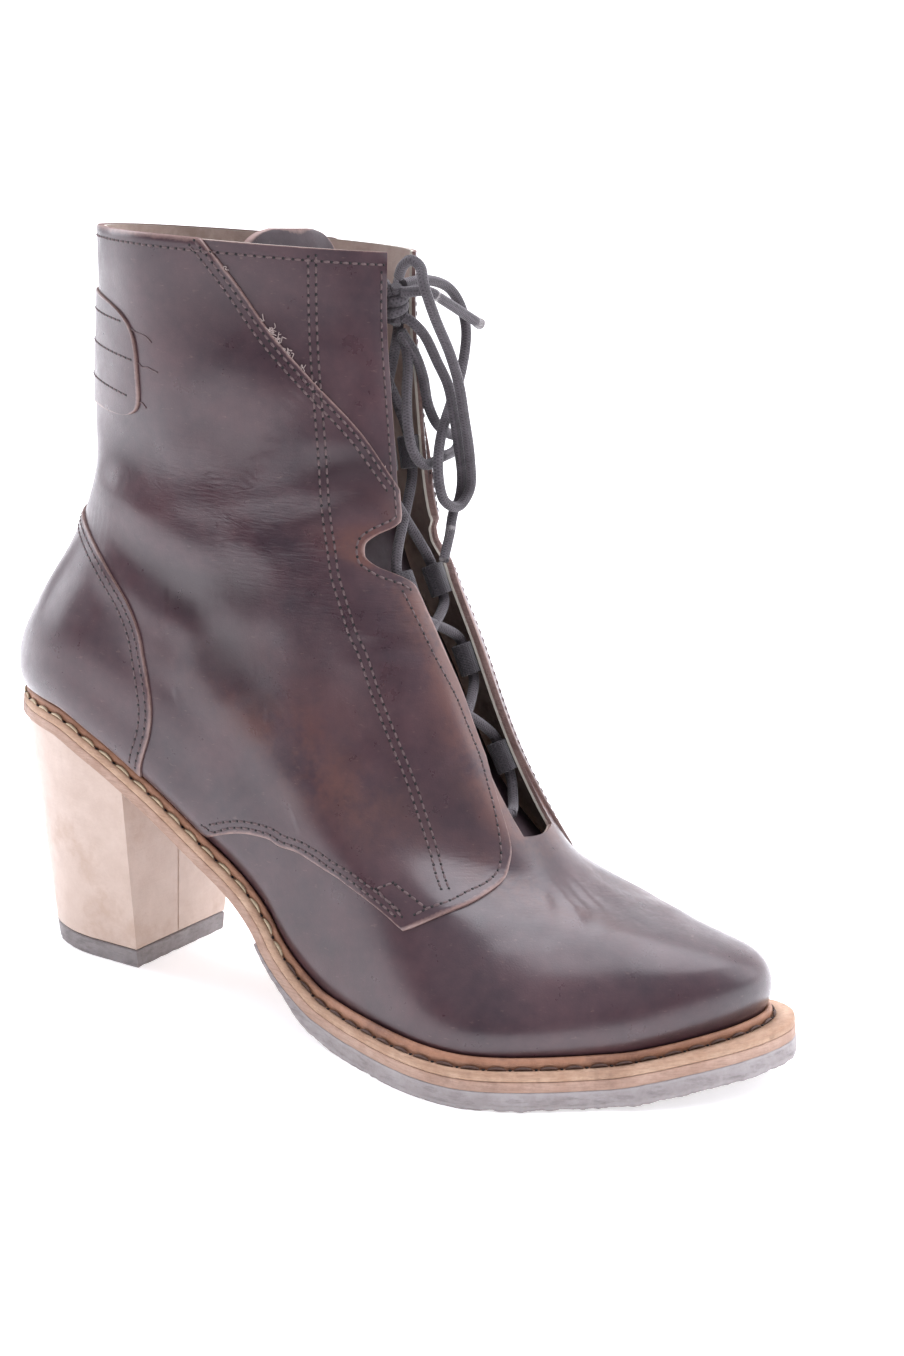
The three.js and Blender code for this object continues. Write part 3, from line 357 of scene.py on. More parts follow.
@dataclass
class Creases:
    """All the folds of the worn leather, and the zones with fine wrinkles."""

    last: Last
    folds: tuple[Fold, ...] = (
        Fold(((.56, 20), (.59, 50), (.585, 63), (.58, 73), (.588, 84), (.6, 92)), 7.0, 1.2),
        Fold(((.64, 84), (.622, 92), (.63, 100), (.655, 110)), 6.5, 0.6),
        Fold(((.6, 84), (.55, 92), (.5, 95), (.444, 96)), 8.5, 0.75),
        Fold(((.575, 68), (.531, 77), (.494, 83), (.44, 86)), 7.5, 0.6),
        Fold(((.69, 92), (.712, 106), (.742, 122), (.77, 140), (.786, 163)), 3.4, 0.3),
        Fold(((.67, 96), (.70, 109), (.731, 125), (.763, 141)), 3.0, 0.22),
        Fold(((.79, 120), (.806, 137), (.82, 160)), 4.5, 0.3),
        Fold(((.72, 68), (.738, 84), (.763, 99)), 5.0, 0.35),
        Fold(((.607, 122), (.62, 139), (.636, 162)), 2.6, 0.25),
        Fold(((.59, 113), (.55, 115), (.5, 116), (.444, 116)), 6.5, 0.3),
        Fold(((.52, 67), (.444, 71), (.344, 72)), 5.0, 0.35),
        Fold(((.58, 146), (.55, 147), (.506, 148)), 5.0, 0.25),
        Fold(((.294, 78), (.288, 86), (.32, 96)), 6.0, 0.3),
        Fold(((.44, 172), (.405, 170), (.36, 164), (.312, 150), (.275, 139)), 2.6, 0.4),
        Fold(((.40, 166), (.381, 158), (.345, 150), (.3, 141), (.256, 130)), 2.4, 0.32),
        Fold(((.40, 184), (.365, 176), (.315, 157), (.26, 142)), 3.2, 0.15),
        Fold(((.345, 143), (.31, 136), (.281, 131), (.244, 124)), 2.8, 0.25),
        Fold(((.42, 190), (.38, 197), (.33, 205), (.27, 216)), 3.5, 0.15),
        Fold(((.39, 188), (.35, 196), (.3, 208), (.25, 222)), 3.5, 0.12),
        Fold(((.838, 84), (.806, 101), (.788, 114)), 11.0, 0.8),
        Fold(((.56, -20), (.588, -50), (.58, -66), (.59, -84), (.6, -96)), 7.0, 1.2),
        Fold(((.65, -80), (.63, -92), (.64, -104), (.66, -114)), 6.0, 0.6),
        Fold(((.6, -86), (.54, -94), (.46, -98)), 8.0, 0.7),
        Fold(((.70, -96), (.73, -112), (.75, -128), (.78, -158)), 3.2, 0.3),
        Fold(((.61, -122), (.62, -139), (.636, -162)), 2.8, 0.3),
        Fold(((.80, -116), (.81, -137), (.82, -158)), 4.5, 0.3),
        Fold(((.82, -60), (.80, -84), (.79, -110)), 10.0, 0.8),
        Fold(((.66, -18), (.67, 0), (.66, 18), (.655, 40)), 8.0, 0.8),
    )

    def __post_init__(self) -> None:
        """Lays each fold on the skin."""
        self._lines = []
        for fold in self.folds:
            height, degrees = np.asarray(fold.points, float).T
            dense = np.linspace(0, len(height) - 1, 8 * len(height))
            index = np.arange(len(height))
            height, degrees = np.interp(dense, index, height), np.interp(dense, index, degrees)
            self._lines.append(self.last.skin(height, np.radians(degrees)))

    def depth(self, points: Array) -> Array:
        """How far the leather moves outwards (negative is in) at points of the skin.

        Args:
            points: Skin points in millimetres, last axis XYZ.

        Returns:
            Millimetres, of the points' shape without the last axis.
        """
        flat = points.reshape(-1, 3)
        moved = np.zeros(len(flat))
        for fold, line in zip(self.folds, self._lines):
            reach = 3.2 * fold.width
            near = np.where(((flat > line.min(0) - reach) & (flat < line.max(0) + reach)).all(1))[0]
            if not len(near):
                continue
            gap = flat[near, None, :] - line[None]
            distance = np.linalg.norm(gap, axis=2)
            nearest = distance.argmin(1)
            away = distance[np.arange(len(near)), nearest] / fold.width
            along = nearest / (len(line) - 1)
            fade = smoothstep(0, .3, along) * smoothstep(0, .3, 1 - along)
            shape = -np.exp(-away**2) + 0.45 * np.exp(-((away - 1.7) / .75) ** 2)
            moved[near] += fold.depth * fade * shape
        x, y, z = flat.T
        slack = smoothstep(70, 130, z) * smoothstep(225, 200, z) + 0.15
        waves = np.sin(z / 9.0 + x / 21.0 + 0.6) * np.sin(x / 17.0 - z / 31.0) + 0.6 * np.sin(
            z / 17.0 - x / 12.0 + y / 19.0)
        moved += 0.32 * slack * waves
        return moved.reshape(points.shape[:-1])

    def flex(self, height: Array, degrees: Array) -> Array:
        """How wrinkled the leather is, 0 to 1, by height share and degrees from the back."""
        ankle = np.exp(-((height - .7) / .075) ** 2) * smoothstep(50, 95, degrees)
        vamp = np.exp(-((height - .36) / .075) ** 2) * smoothstep(118, 140, degrees)
        return np.clip(ankle * 0.9 + vamp, 0, 1)


@dataclass
class MeshData:
    """Points, faces and per-point colours of one mesh, in the last's millimetres."""

    points: list[Array] = field(default_factory=list)
    faces: list[tuple[int, ...]] = field(default_factory=list)
    slots: list[int] = field(default_factory=list)
    tones: list[Array] = field(default_factory=list)
    uvs: list[Array] = field(default_factory=list)
    count: int = 0

    def add_points(self, points: Array, tones: Array | None = None, uvs: Array | None = None) -> Array:
        """Adds points and returns their indices, in the points' shape.

        Args:
            points: Millimetres, last axis XYZ.
            tones: Up to four values a point, zero where not given.
            uvs: Two values a point.

        Returns:
            The new indices, without the last axis.
        """
        shape = points.shape[:-1]
        flat = points.reshape(-1, 3)
        self.points.append(flat)
        given = np.zeros((len(flat), 4))
        if tones is not None:
            given[:, :tones.shape[-1]] = tones.reshape(len(flat), -1)
        self.tones.append(given)
        self.uvs.append(np.zeros((len(flat), 2)) if uvs is None else uvs.reshape(-1, 2))
        index = np.arange(self.count, self.count + len(flat)).reshape(shape)
        self.count += len(flat)
        return index

    def add_quads(self, a: Array, b: Array, c: Array, d: Array, slot: int = 0) -> None:
        """Adds one four-sided face for each entry of the index arrays."""
        quads = np.stack([np.ravel(a), np.ravel(b), np.ravel(c), np.ravel(d)], 1)
        self.faces.extend(map(tuple, quads.tolist()))
        self.slots.extend([slot] * len(quads))

    def add_grid(self, index: Array, slot: int = 0, flip: bool = False) -> None:
        """Adds the faces of a grid of point indices.

        Args:
            index: Rows of point indices.
            slot: Material slot.
            flip: Whether the faces turn over.
        """
        a, b, c, d = index[:-1, :-1], index[:-1, 1:], index[1:, 1:], index[1:, :-1]
        if flip:
            a, b, c, d = d, c, b, a
        self.add_quads(a, b, c, d, slot)

    def add_band(self, upper: Array, lower: Array, slot: int = 0) -> None:
        """Joins closed loops of point indices to the loops below them."""
        self.add_quads(upper, lower, np.roll(lower, -1, -1), np.roll(upper, -1, -1), slot)

    def add_hexagons(self, rings: Array, slot: int = 0, flip: bool = False) -> None:
        """Closes each ring of six point indices with two faces."""
        for order in ((0, 3, 2, 1), (0, 5, 4, 3)) if flip else ((0, 1, 2, 3), (0, 3, 4, 5)):
            self.add_quads(*(rings[:, k] for k in order), slot)

    def add_fan(self, loop: Array, slot: int = 0, flip: bool = False) -> None:
        """Closes a loop of point indices with faces to its middle."""
        middle = self.add_points(np.concatenate(self.points)[loop].mean(0)[None])[0]
        ring = loop[::-1] if flip else loop
        for a, b in zip(ring, np.roll(ring, -1)):
            self.faces.append((int(a), int(b), int(middle)))
            self.slots.append(slot)

    def build(self, name: str, materials: Sequence[Material], sharp: float = 40.0) -> Piece:
        """Makes the Blender object.

        Args:
            name: Name of the piece.
            materials: One for each slot number that the faces use.
            sharp: Edges that bend more than this many degrees stay sharp.

        Returns:
            The new object, linked to the scene.
        """
        mesh = bpy.data.meshes.new(name)
        mesh.from_pydata(to_row(np.concatenate(self.points)).tolist(), [], self.faces)
        for material in materials:
            mesh.materials.append(material)
        mesh.polygons.foreach_set("material_index", self.slots)
        tones = np.concatenate(self.tones)
        layer = mesh.color_attributes.new("tone", "FLOAT_COLOR", "POINT")
        layer.data.foreach_set("color", tones.astype(np.float32).ravel())
        corner = np.empty(len(mesh.loops), np.int32)
        mesh.loops.foreach_get("vertex_index", corner)
        uv_layer = mesh.uv_layers.new(name="UVMap")
        uv_layer.data.foreach_set("uv", np.concatenate(self.uvs)[corner].astype(np.float32).ravel())
        mesh.shade_smooth()
        mesh.set_sharp_from_angle(angle=math.radians(sharp))
        mesh.validate()
        piece = bpy.data.objects.new(name, mesh)
        bpy.context.scene.collection.objects.link(piece)
        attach(piece, BODY)
        LOG.info("%s: %d faces", name, len(mesh.polygons))
        return piece


def coons(bottom: Array, top: Array, left: Array, right: Array) -> Array:
    """Fills four joined curves with a grid of height shares and turns.

    Args:
        bottom: Left to right, one (height, turn) pair a point.
        top: Left to right, as many points as bottom.
        left: Bottom to top.
        right: Bottom to top, as many points as left.

    Returns:
        Pairs in rows from the bottom up.
    """
    t = np.linspace(0, 1, len(left))[:, None, None]
    s = np.linspace(0, 1, len(bottom))[None, :, None]
    ruled = (1 - t) * bottom[None] + t * top[None] + (1 - s) * left[:, None] + s * right[:, None]
    corners = (1 - t) * ((1 - s) * bottom[0] + s * bottom[-1]) + t * ((1 - s) * top[0] + s * top[-1])
    return ruled - corners


def resample(points: Array, count: int) -> Array:
    """Points spread evenly along an open line.

    Args:
        points: The line.
        count: How many points it gets.

    Returns:
        The new line.
    """
    points = np.asarray(points, float)
    run = distances(points)
    return np.stack([np.interp(np.linspace(0, run[-1], count), run, column) for column in points.T], 1)


class Slot(Enum):
    """Material slots of the upper's mesh."""

    LEATHER = 0
    RAW_EDGE = 1
    LINING = 2


@dataclass
class Drape:
    """Lays leather on the last, with the folds pressed in."""

    last: Last
    creases: Creases
    rounding: float = 0.3
    edge_inset: float = 0.4

    def lay(self, grid: Array, offset: Array) -> tuple[Array, Array]:
        """Points at an offset from the last, and how much they were folded in.

        Args:
            grid: Pairs of height share and turn.
            offset: Millimetres out of the last's skin.

        Returns:
            The points and the folds' depth at each.
        """
        height, turn = grid[..., 0], grid[..., 1]
        skin = self.last.skin(height, turn)
        fold = self.creases.depth(skin)
        fold = fold * smoothstep(0.03, 0.12, height)
        return skin + self.last.outward(height, turn) * (offset + fold)[..., None], fold

    def tone(self, grid: Array, fold: Array, edge: Array) -> Array:
        """Warmth, closeness to an edge, fold depth as the mask for painted shade in the folds, and flex of
        each point.

        Args:
            grid: Pairs of height share and turn.
            fold: The folds' depth.
            edge: Closeness to an edge.

        Returns:
            Four values a point.
        """
        degrees = folded(grid[..., 1])
        height = grid[..., 0]
        flap = self.last.flap.at(height)
        warm = np.exp(-((flap - degrees) / 14) ** 2)
        warm = warm * smoothstep(.42, .5, height) * smoothstep(.84, .7, height)
        warm = np.maximum(warm, 0.7 * np.exp(-(((height - .45) / .08) ** 2 + ((degrees - 105) / 22) ** 2)))
        warm = np.maximum(warm, 0.8 * np.exp(-(((height - .38) / .06) ** 2 + ((degrees - 150) / 14) ** 2)))
        # Mask for painted shade: above one half where the leather is pressed into a fold.
        painted_fold_shade = 0.5 + np.clip(-fold / 2.4, -0.5, 0.5)
        flex = self.creases.flex(height, degrees)
        return np.stack([np.clip(warm, 0, 1), edge, painted_fold_shade, flex], -1)

    def near_edges(self, grid: Array) -> Array:
        """Adds a line of points just inside each side of the grid."""
        for _ in range(2):
            for first, second, place in ((0, 1, 1), (-1, -2, len(grid) - 1)):
                gap = np.linalg.norm(self.last.skin(*grid[second].T) - self.last.skin(*grid[first].T), axis=1)
                share = np.minimum(0.5, self.edge_inset / np.maximum(gap, 1e-6))[:, None]
                line = grid[first] + (grid[second] - grid[first]) * share
                grid = np.insert(grid, place if place == 1 else len(grid) - 1, line, axis=0)
            grid = np.swapaxes(grid, 0, 1)
        return grid

    def panel(self, data: MeshData, grid: Array, outer: float, inner: float) -> None:
        """Adds a closed piece of leather with rounded raw edges.

        Args:
            data: Mesh to add to.
            grid: Rows of (height, turn) pairs.
            outer: Offset of its face from the last.
            inner: Offset of its back.
        """
        grid = self.near_edges(grid)
        rim = np.zeros(grid.shape[:2], bool)
        rim[[0, -1]] = True
        rim[:, [0, -1]] = True
        face, fold = self.lay(grid, np.where(rim, outer - self.rounding, outer))
        edge = border_closeness(face)
        tones = self.tone(grid, fold, edge)
        back, _ = self.lay(grid, np.full(rim.shape, inner))
        top = data.add_points(face, tones)
        under = data.add_points(back, tones)
        data.add_grid(top, Slot.LEATHER.value)
        data.add_grid(under, Slot.LEATHER.value, flip=True)
        data.add_band(border(top), border(under), Slot.RAW_EDGE.value)


def border(index: Array) -> Array:
    """Point indices round a grid, once."""
    return np.concatenate([index[0, :-1], index[:-1, -1], index[-1, :0:-1], index[:0:-1, 0]])


def border_closeness(points: Array, reach: float = 1.3) -> Array:
    """1 at the sides of a grid of points, fading over reach millimetres.

    Args:
        points: The grid.
        reach: Width of the fade.

    Returns:
        One value a point.
    """
    nearest = np.full(points.shape[:2], 1e9)
    for axis in (0, 1):
        step = np.linalg.norm(np.diff(points, axis=axis), axis=-1)
        run = np.cumsum(step, axis=axis)
        zero = np.zeros_like(np.take(run, [0], axis=axis))
        ahead = np.concatenate([zero, run], axis=axis)
        nearest = np.minimum(nearest, np.minimum(ahead, np.take(ahead, [-1], axis=axis) - ahead))
    return np.exp(-((nearest / reach) ** 2))


@dataclass
class Upper:
    """The upper: vamp and shaft in one piece of leather and lining, with quarter, counter and back tab."""

    drape: Drape
    wall: float = 1.7
    leather: float = 1.0
    quarter_face: float = 1.0
    counter_face: float = 1.9
    tab_face: float = 1.8
    throat_foot: float = 0.475
    edge_back: float = 0.35
    tab_height: float = 0.85
    tab_half_height: float = 0.073
    tab_degrees: float = 67.5
    tab_squareness: float = 4.0
    foot: float = 3.8

    def build(self, leather: Material, raw: Material,
              lining: Material) -> Piece:
        """Makes the upper's mesh.

        Args:
            leather: Its face.
            raw: Its cut edges.
            lining: Its inside.

        Returns:
            The piece.
        """
        data = MeshData()
        self._base(data)
        for grid, outer, inner in self._panels():
            self.drape.panel(data, grid, outer, inner)
        return data.build("boot_upper", [leather, raw, lining], 50)

    def _base_rows(self) -> tuple[Array, Array]:
        """Heights of the closed foot part and of the open shaft."""
        low = np.linspace(0, self.throat_foot, 84)
        shaft = [
            np.linspace(self.throat_foot, .685, 34), np.linspace(.688, .775, 34)[:-1],
            np.linspace(.775, .997, 40), [.9986],
        ]
        return low, np.concatenate(shaft)

    def _base(self, data: MeshData) -> None:
        """The leather and lining that run round the whole boot, open at the throat and the collar."""
        last = self.drape.last
        low, high = self._base_rows()
        shares = np.sin(np.linspace(-1, 1, 241) * 1.35) / math.sin(1.35)
        shares = np.insert(shares, [1, -1], [-.9975, .9975])

        def grid_of(heights: Array) -> tuple[Array, Array]:
            """Grid across the back between the flap edges, and their turn."""
            edge = np.radians(last.flap.at(heights) - self.edge_back)[:, None]
            turns = shares[None] * edge
            return np.stack([np.broadcast_to(heights[:, None], turns.shape), turns], -1), edge

        back_low, edge_low = grid_of(low)
        back_high, _ = grid_of(high)
        front_share = np.linspace(0, 1, 31)[1:-1]
        front_turn = edge_low + front_share[None] * (2 * np.pi - 2 * edge_low)
        front = np.stack([np.broadcast_to(low[:, None], front_turn.shape), front_turn], -1)
        ring = np.concatenate([back_low, front], 1)
        layers = {}
        for name, offset in (("out", 0.0), ("mid", -self.leather), ("in", -self.wall)):
            ring_points, ring_fold = self.drape.lay(ring, np.full(ring.shape[:2], offset))
            shaft_points, shaft_fold = self.drape.lay(back_high, np.full(back_high.shape[:2], offset))
            rim = np.zeros(back_high.shape[:2])
            rim[:, [0, -1]] = 1
            rim[-1] = 1
            shaft_tone = self.drape.tone(back_high, shaft_fold, rim)
            ring_index = data.add_points(ring_points, self.drape.tone(ring, ring_fold, ring_fold * 0))
            shaft_index = data.add_points(shaft_points[1:], shaft_tone[1:])
            shaft_index = np.concatenate([ring_index[-1:, :len(shares)], shaft_index])
            layers[name] = (ring_index, shaft_index)
        for name, slot, flip in (("out", Slot.LEATHER, False), ("in", Slot.LINING, True)):
            ring_index, shaft_index = layers[name]
            data.add_grid(np.hstack([ring_index, ring_index[:, :1]]), slot.value, flip)
            data.add_grid(shaft_index, slot.value, flip)

        def rims(name: str) -> tuple[Array, Array, Array]:
            """Foot, open edge and throat bottom of one layer."""
            ring_index, shaft = layers[name]
            throat = np.concatenate([ring_index[-1, len(shares) - 1:], ring_index[-1, :1]])
            edge = np.concatenate([throat[-1:], shaft[1:, 0], shaft[-1, 1:], shaft[-2::-1, -1]])
            return ring_index[0], edge, throat

        for outer, inner, slot in (("out", "mid", Slot.RAW_EDGE), ("mid", "in", Slot.LINING)):
            near, far = rims(outer), rims(inner)
            data.add_band(near[0], far[0], slot.value)
            for a, b in zip(near[1:], far[1:]):
                data.add_quads(a[:-1], a[1:], b[1:], b[:-1], slot.value)

    def _panels(self) -> Iterable[tuple[Array, float, float]]:
        """Grids of the overlays with the offsets of their faces and backs."""
        yield self._quarter(), self.quarter_face, -0.3
        yield self._counter(), self.counter_face, 0.8
        yield self._tab(), self.tab_face, 0.8

    def _quarter(self) -> Array:
        """The quarter, from flap to flap round the back."""
        last = self.drape.last
        back, start = last.quarter_table[0][0], last.diagonal_table[0][0]
        corners = np.array([back, last.tip - .6, last.tip, last.tip + .6]) / last.flap.at(.25)
        half = np.unique([*np.linspace(0, 1, 150), *corners, start / last.flap.at(1.0)])
        half = half[np.concatenate([[True], np.diff(half) > 0.0004])]
        half[-1] = 1.0
        shares = np.concatenate([-half[:0:-1], half])
        reach = np.abs(shares)
        foot = last.above(self.foot)
        low = np.full(len(shares), 0.3)
        high = np.full(len(shares), 0.9)
        for _ in range(40):
            low = np.maximum(last.quarter(reach * last.flap.at(np.maximum(low, .1))), foot)
            degrees = reach * last.flap.at(high)
            high = np.where(degrees < start, 1.0, np.minimum(1.0, last.diagonal.at(degrees)))
        rows = [low + (0.64 - low) * t for t in np.linspace(0, 1, 56)]
        rows += [np.full(len(shares), v) for v in np.linspace(.64, .775, 46)[1:]]
        rows += [.775 + (high - .775) * t for t in np.linspace(0, 1, 30)[1:]]
        heights = np.array(rows)
        return np.stack([heights, shares[None] * np.radians(last.flap.at(heights))], -1)

    def _counter(self) -> Array:
        """The heel counter."""
        last = self.drape.last
        foot = last.above(self.foot)
        corner = 0.5
        side_heights = np.linspace(foot, corner, 60)
        side = np.stack([side_heights, np.radians(last.counter.at(side_heights))], 1)
        crown_heights = np.concatenate([np.linspace(corner, .562, 60), [.5636, .564]])
        crown = np.stack([crown_heights, np.radians(np.maximum(last.counter.at(crown_heights), 0))], 1)
        scaled = resample(crown * [240, 40], 56) / [240, 40]
        top = np.concatenate([scaled * [1, -1], scaled[-2::-1]])
        spread = np.linspace(-1, 1, len(top)) * np.radians(last.counter.at(foot))
        bottom = np.stack([np.full(len(top), foot), spread], 1)
        return coons(bottom, top, side * [1, -1], side)

    def _tab(self) -> Array:
        """The squarish oval reinforcement round the back of the shaft."""

        def arc(start: float, end: float, count: int) -> Array:
            """Part of the tab's outline between two angles."""
            lift = np.radians(np.linspace(start, end, count))
            rise, reach = (np.sign(part) * np.abs(part) ** (2 / self.tab_squareness)
                           for part in (np.sin(lift), np.cos(lift)))
            height = self.tab_height + self.tab_half_height * rise
            return np.stack([height, np.radians(self.tab_degrees) * reach], 1)

        right = arc(-45, 45, 40)
        top = arc(135, 45, 96)
        return coons(top * [-1, 1] + [2 * self.tab_height, 0], top, right * [1, -1], right)


@dataclass
class Bottom:
    """Points of the sole, measured from the feather line."""

    last: Last
    margin: float = 5.0
    edge_table: Curve = (
        (0, .6), (30, .8), (70, .92), (110, 1), (140, 1.3), (165, 1.7), (180, 1.9),
    )
    welt: float = 2.5
    outsole: float = 2.6
    rubber: float = 5.0

    def __post_init__(self) -> None:
        """Turns the edge table into a curve and stacks the layers."""
        self._edge = SteadyCurve(self.edge_table)
        self.welt_top = GAP
        self.outsole_top = self.welt_top + self.welt + GAP
        self.rubber_top = self.outsole_top + self.outsole + GAP

    def edge(self, turn: Array) -> Array:
        """How far the sole stands out from the feather line."""
        return self._edge.at(folded(turn)) * self.margin

    def sunk(self, x: Array, y: Array, depth: Array) -> Array:
        """Points below the feather line, at right angles to it.

        Args:
            x: Place along the boot.
            y: Place across it.
            depth: Millimetres below.

        Returns:
            The points.
        """
        slope = self.last.feather(x + .5) - self.last.feather(x - .5)
        length = np.hypot(slope, 1)
        x, y, depth = np.broadcast_arrays(x, y, depth)
        return np.stack([x + slope / length * depth, y, self.last.feather(x) - depth / length], -1)

    def plan(self, turn: Array, widen: Array) -> tuple[Array, Array]:
        """Plan position of the feather line, moved out by widen.

        Args:
            turn: Radians round from the back.
            widen: Millimetres.

        Returns:
            X and Y of each point.
        """
        d = 1e-3
        point = self.last.skin(0.0, turn)
        along = (self.last.skin(0.0, turn + d) - self.last.skin(0.0, turn - d))[..., :2]
        along = unit(along)
        return point[..., 0] + along[..., 1] * widen, point[..., 1] - along[..., 0] * widen

    def point(self, turn: Array, widen: Array, depth: Array) -> Array:
        """A point of the sole by turn, distance out and depth."""
        x, y = self.plan(turn, widen)
        return self.sunk(x, y, depth)


def ring_turns(count: int) -> Array:
    """Turns all the way round, the last one short of a full turn."""
    return np.linspace(0, 2 * np.pi, count, endpoint=False)


def rough(points: Array, size: float, seed: float) -> Array:
    """Smooth noise from -1 to 1 at points, with lumps of about this size in millimetres.

    Args:
        points: Last axis XYZ.
        size: Size of a lump.
        seed: Which noise.

    Returns:
        One value a point.
    """
    total = np.zeros(points.shape[:-1])
    generator = np.random.default_rng(int(seed))
    for octave in range(4):
        for _ in range(3):
            direction = generator.normal(size=3)
            direction *= 2 * np.pi * 1.9**octave / (2.6 * size * np.linalg.norm(direction))
            total += np.sin(points @ direction + generator.uniform(0, 6.28)) / 1.7**octave
    return total / 3.2


@dataclass
class Welt:
    """The plate that carries the upper, with the rounded rand at its foot and a stitched ledge."""

    drape: Drape
    bottom: Bottom
    rand_height: float = 2.6
    rand_width: float = 2.4
    # Section of the rand: share of its height up the upper, millimetres away from the upper's face.
    rand_section: Curve = (
        (.5, .1), (.96, .1), (1.08, .55), (1.02, 1.15), (.82, 1.75), (.5, 2.2), (.18, 2.4),
    )
    count: int = 420
    depth_in: float = 12.0

    def build(self, rand: Material, ledge: Material) -> Piece:
        """Sweeps the welt's section round the feather line.

        Args:
            rand: Finish of the rand.
            ledge: Finish of the stitched ledge and its edge.

        Returns:
            The piece.
        """
        last, sole = self.drape.last, self.bottom
        turn = ring_turns(self.count)
        out = sole.edge(turn)
        lip = last.above(self.rand_height)
        skin = last.outward(0.05, turn)
        top, low = sole.welt_top, sole.welt_top + sole.welt
        foot = GAP + self.rand_width

        def on_skin(share: float, away: float) -> Array:
            """Point beside the upper, this share of the rand's height up."""
            return last.surface(lip * share, turn, GAP) + skin * away

        ledge_in = np.minimum(foot + .55, out - .35)
        wobble = rough(sole.point(turn, out, low), 9, 3)
        section = [
            sole.point(turn, -self.depth_in, low), sole.point(turn, -self.depth_in, top),
            sole.point(turn, -0.6, top), *(on_skin(share, away) for share, away in self.rand_section),
            sole.point(turn, np.minimum(foot + .1, out - .5), top + .3),
            sole.point(turn, np.minimum(foot + .3, out - .45), top + .45),
            sole.point(turn, ledge_in, top + .1), sole.point(turn, (ledge_in + out - .3) / 2, top),
            sole.point(turn, out - .35, top + .06 + .05 * wobble),
            sole.point(turn, out - .08, top + .3), sole.point(turn, out + .05 * wobble, top + .8),
            sole.point(turn, out + .04, top + 1.6 + .1 * wobble), sole.point(turn, out - .1, low - .15),
            sole.point(turn, out - .5, low),
        ]
        data = MeshData()
        points = np.array(section)
        tones = np.zeros(points.shape)
        tones[..., 0] = (folded(turn) / 180)[None]
        tones[14:17, :, 1] = 1
        # Third tone marks the groove between rand and ledge, which the finish darkens as painted shade.
        tones[9:13, :, 2] = 1
        index = data.add_points(points, tones)
        index = np.vstack([index, index[:1]])
        index = np.hstack([index, index[:, :1]])
        data.add_grid(index[:11], 0, flip=True)
        data.add_grid(index[10:], 1, flip=True)
        return data.build("boot_welt", [rand, ledge], 60)


@dataclass
class SolePlate:
    """A flat layer of the bottom, with caps that follow the feather line and a shaped edge."""

    bottom: Bottom
    name: str
    start: float
    top: float
    thickness: Callable[[Array], Array]
    widen: Callable[[Array], Array]
    section: Curve
    rows: int = 150
    across: int = 24
    ragged: float = 0.0

    def build(self, material: Material) -> Piece:
        """Makes the closed plate."""
        sole = self.bottom
        turn = np.radians(self.start + (180 - self.start) * np.linspace(0, 1, self.rows))
        data = MeshData()
        walls = []
        for inset, share in self.section:
            sides = []
            for angle in (turn, 2 * np.pi - turn):
                thick = self.thickness(folded(angle))
                out = self.widen(angle)
                place = sole.point(angle, out - inset, self.top + thick * share)
                if self.ragged:
                    lump = rough(place, 3.0, 11)
                    place = sole.point(angle, out - inset + self.ragged * .5 * lump * share,
                                       self.top + thick * share * (1 + self.ragged * .12 * lump))
                    place[..., 2] = np.maximum(place[..., 2], 0.02)
                sides.append(place)
            walls.append(sides)
        pointed = self.start == 0
        rings = []
        for level, (left, right) in enumerate(walls):
            tones = np.zeros((len(turn), 3))
            tones[:, 0] = np.degrees(turn) / 180
            tones[:, 1] = 1.0 if level in (1, len(walls) - 2) else 0.0
            tones[:, 2] = self.section[level][1]
            a = data.add_points(left, tones)
            b = data.add_points(right, tones)
            b[-1] = a[-1]
            if pointed:
                b[0] = a[0]
            rings.append((a, b))
        for (a, b), (c, d) in zip(rings, rings[1:]):
            data.add_quads(a[:-1], a[1:], c[1:], c[:-1])
            data.add_quads(b[1:], b[:-1], d[:-1], d[1:])
            if not pointed:
                data.add_quads(b[:1], a[:1], c[:1], d[:1])
        self._cap(data, rings[0], walls[0], flip=False)
        self._cap(data, rings[-1], walls[-1], flip=True)
        return data.build(self.name, [material], 50)

    def _cap(self, data: MeshData, ring: tuple[Array, Array], wall: list[Array], flip: bool) -> None:
        """Closes the plate's top or underside with a grid across.

        Args:
            data: Mesh to add to.
            ring: Indices of the rim, left and right.
            wall: Points of the rim.
            flip: True for the underside.
        """
        share = np.linspace(0, 1, self.across + 1)[1:-1]
        left, right = wall
        middle = left[:, None] + (right - left)[:, None] * share[None, :, None]
        tones = np.zeros(middle.shape)
        tones[..., 2] = 1.0 if flip else 0.0
        inner = data.add_points(middle, tones)
        inner[-1] = ring[0][-1]
        if self.start == 0:
            inner[0] = ring[0][0]
        index = np.concatenate([ring[0][:, None], inner, ring[1][:, None]], 1)
        data.add_grid(index, 0, flip)


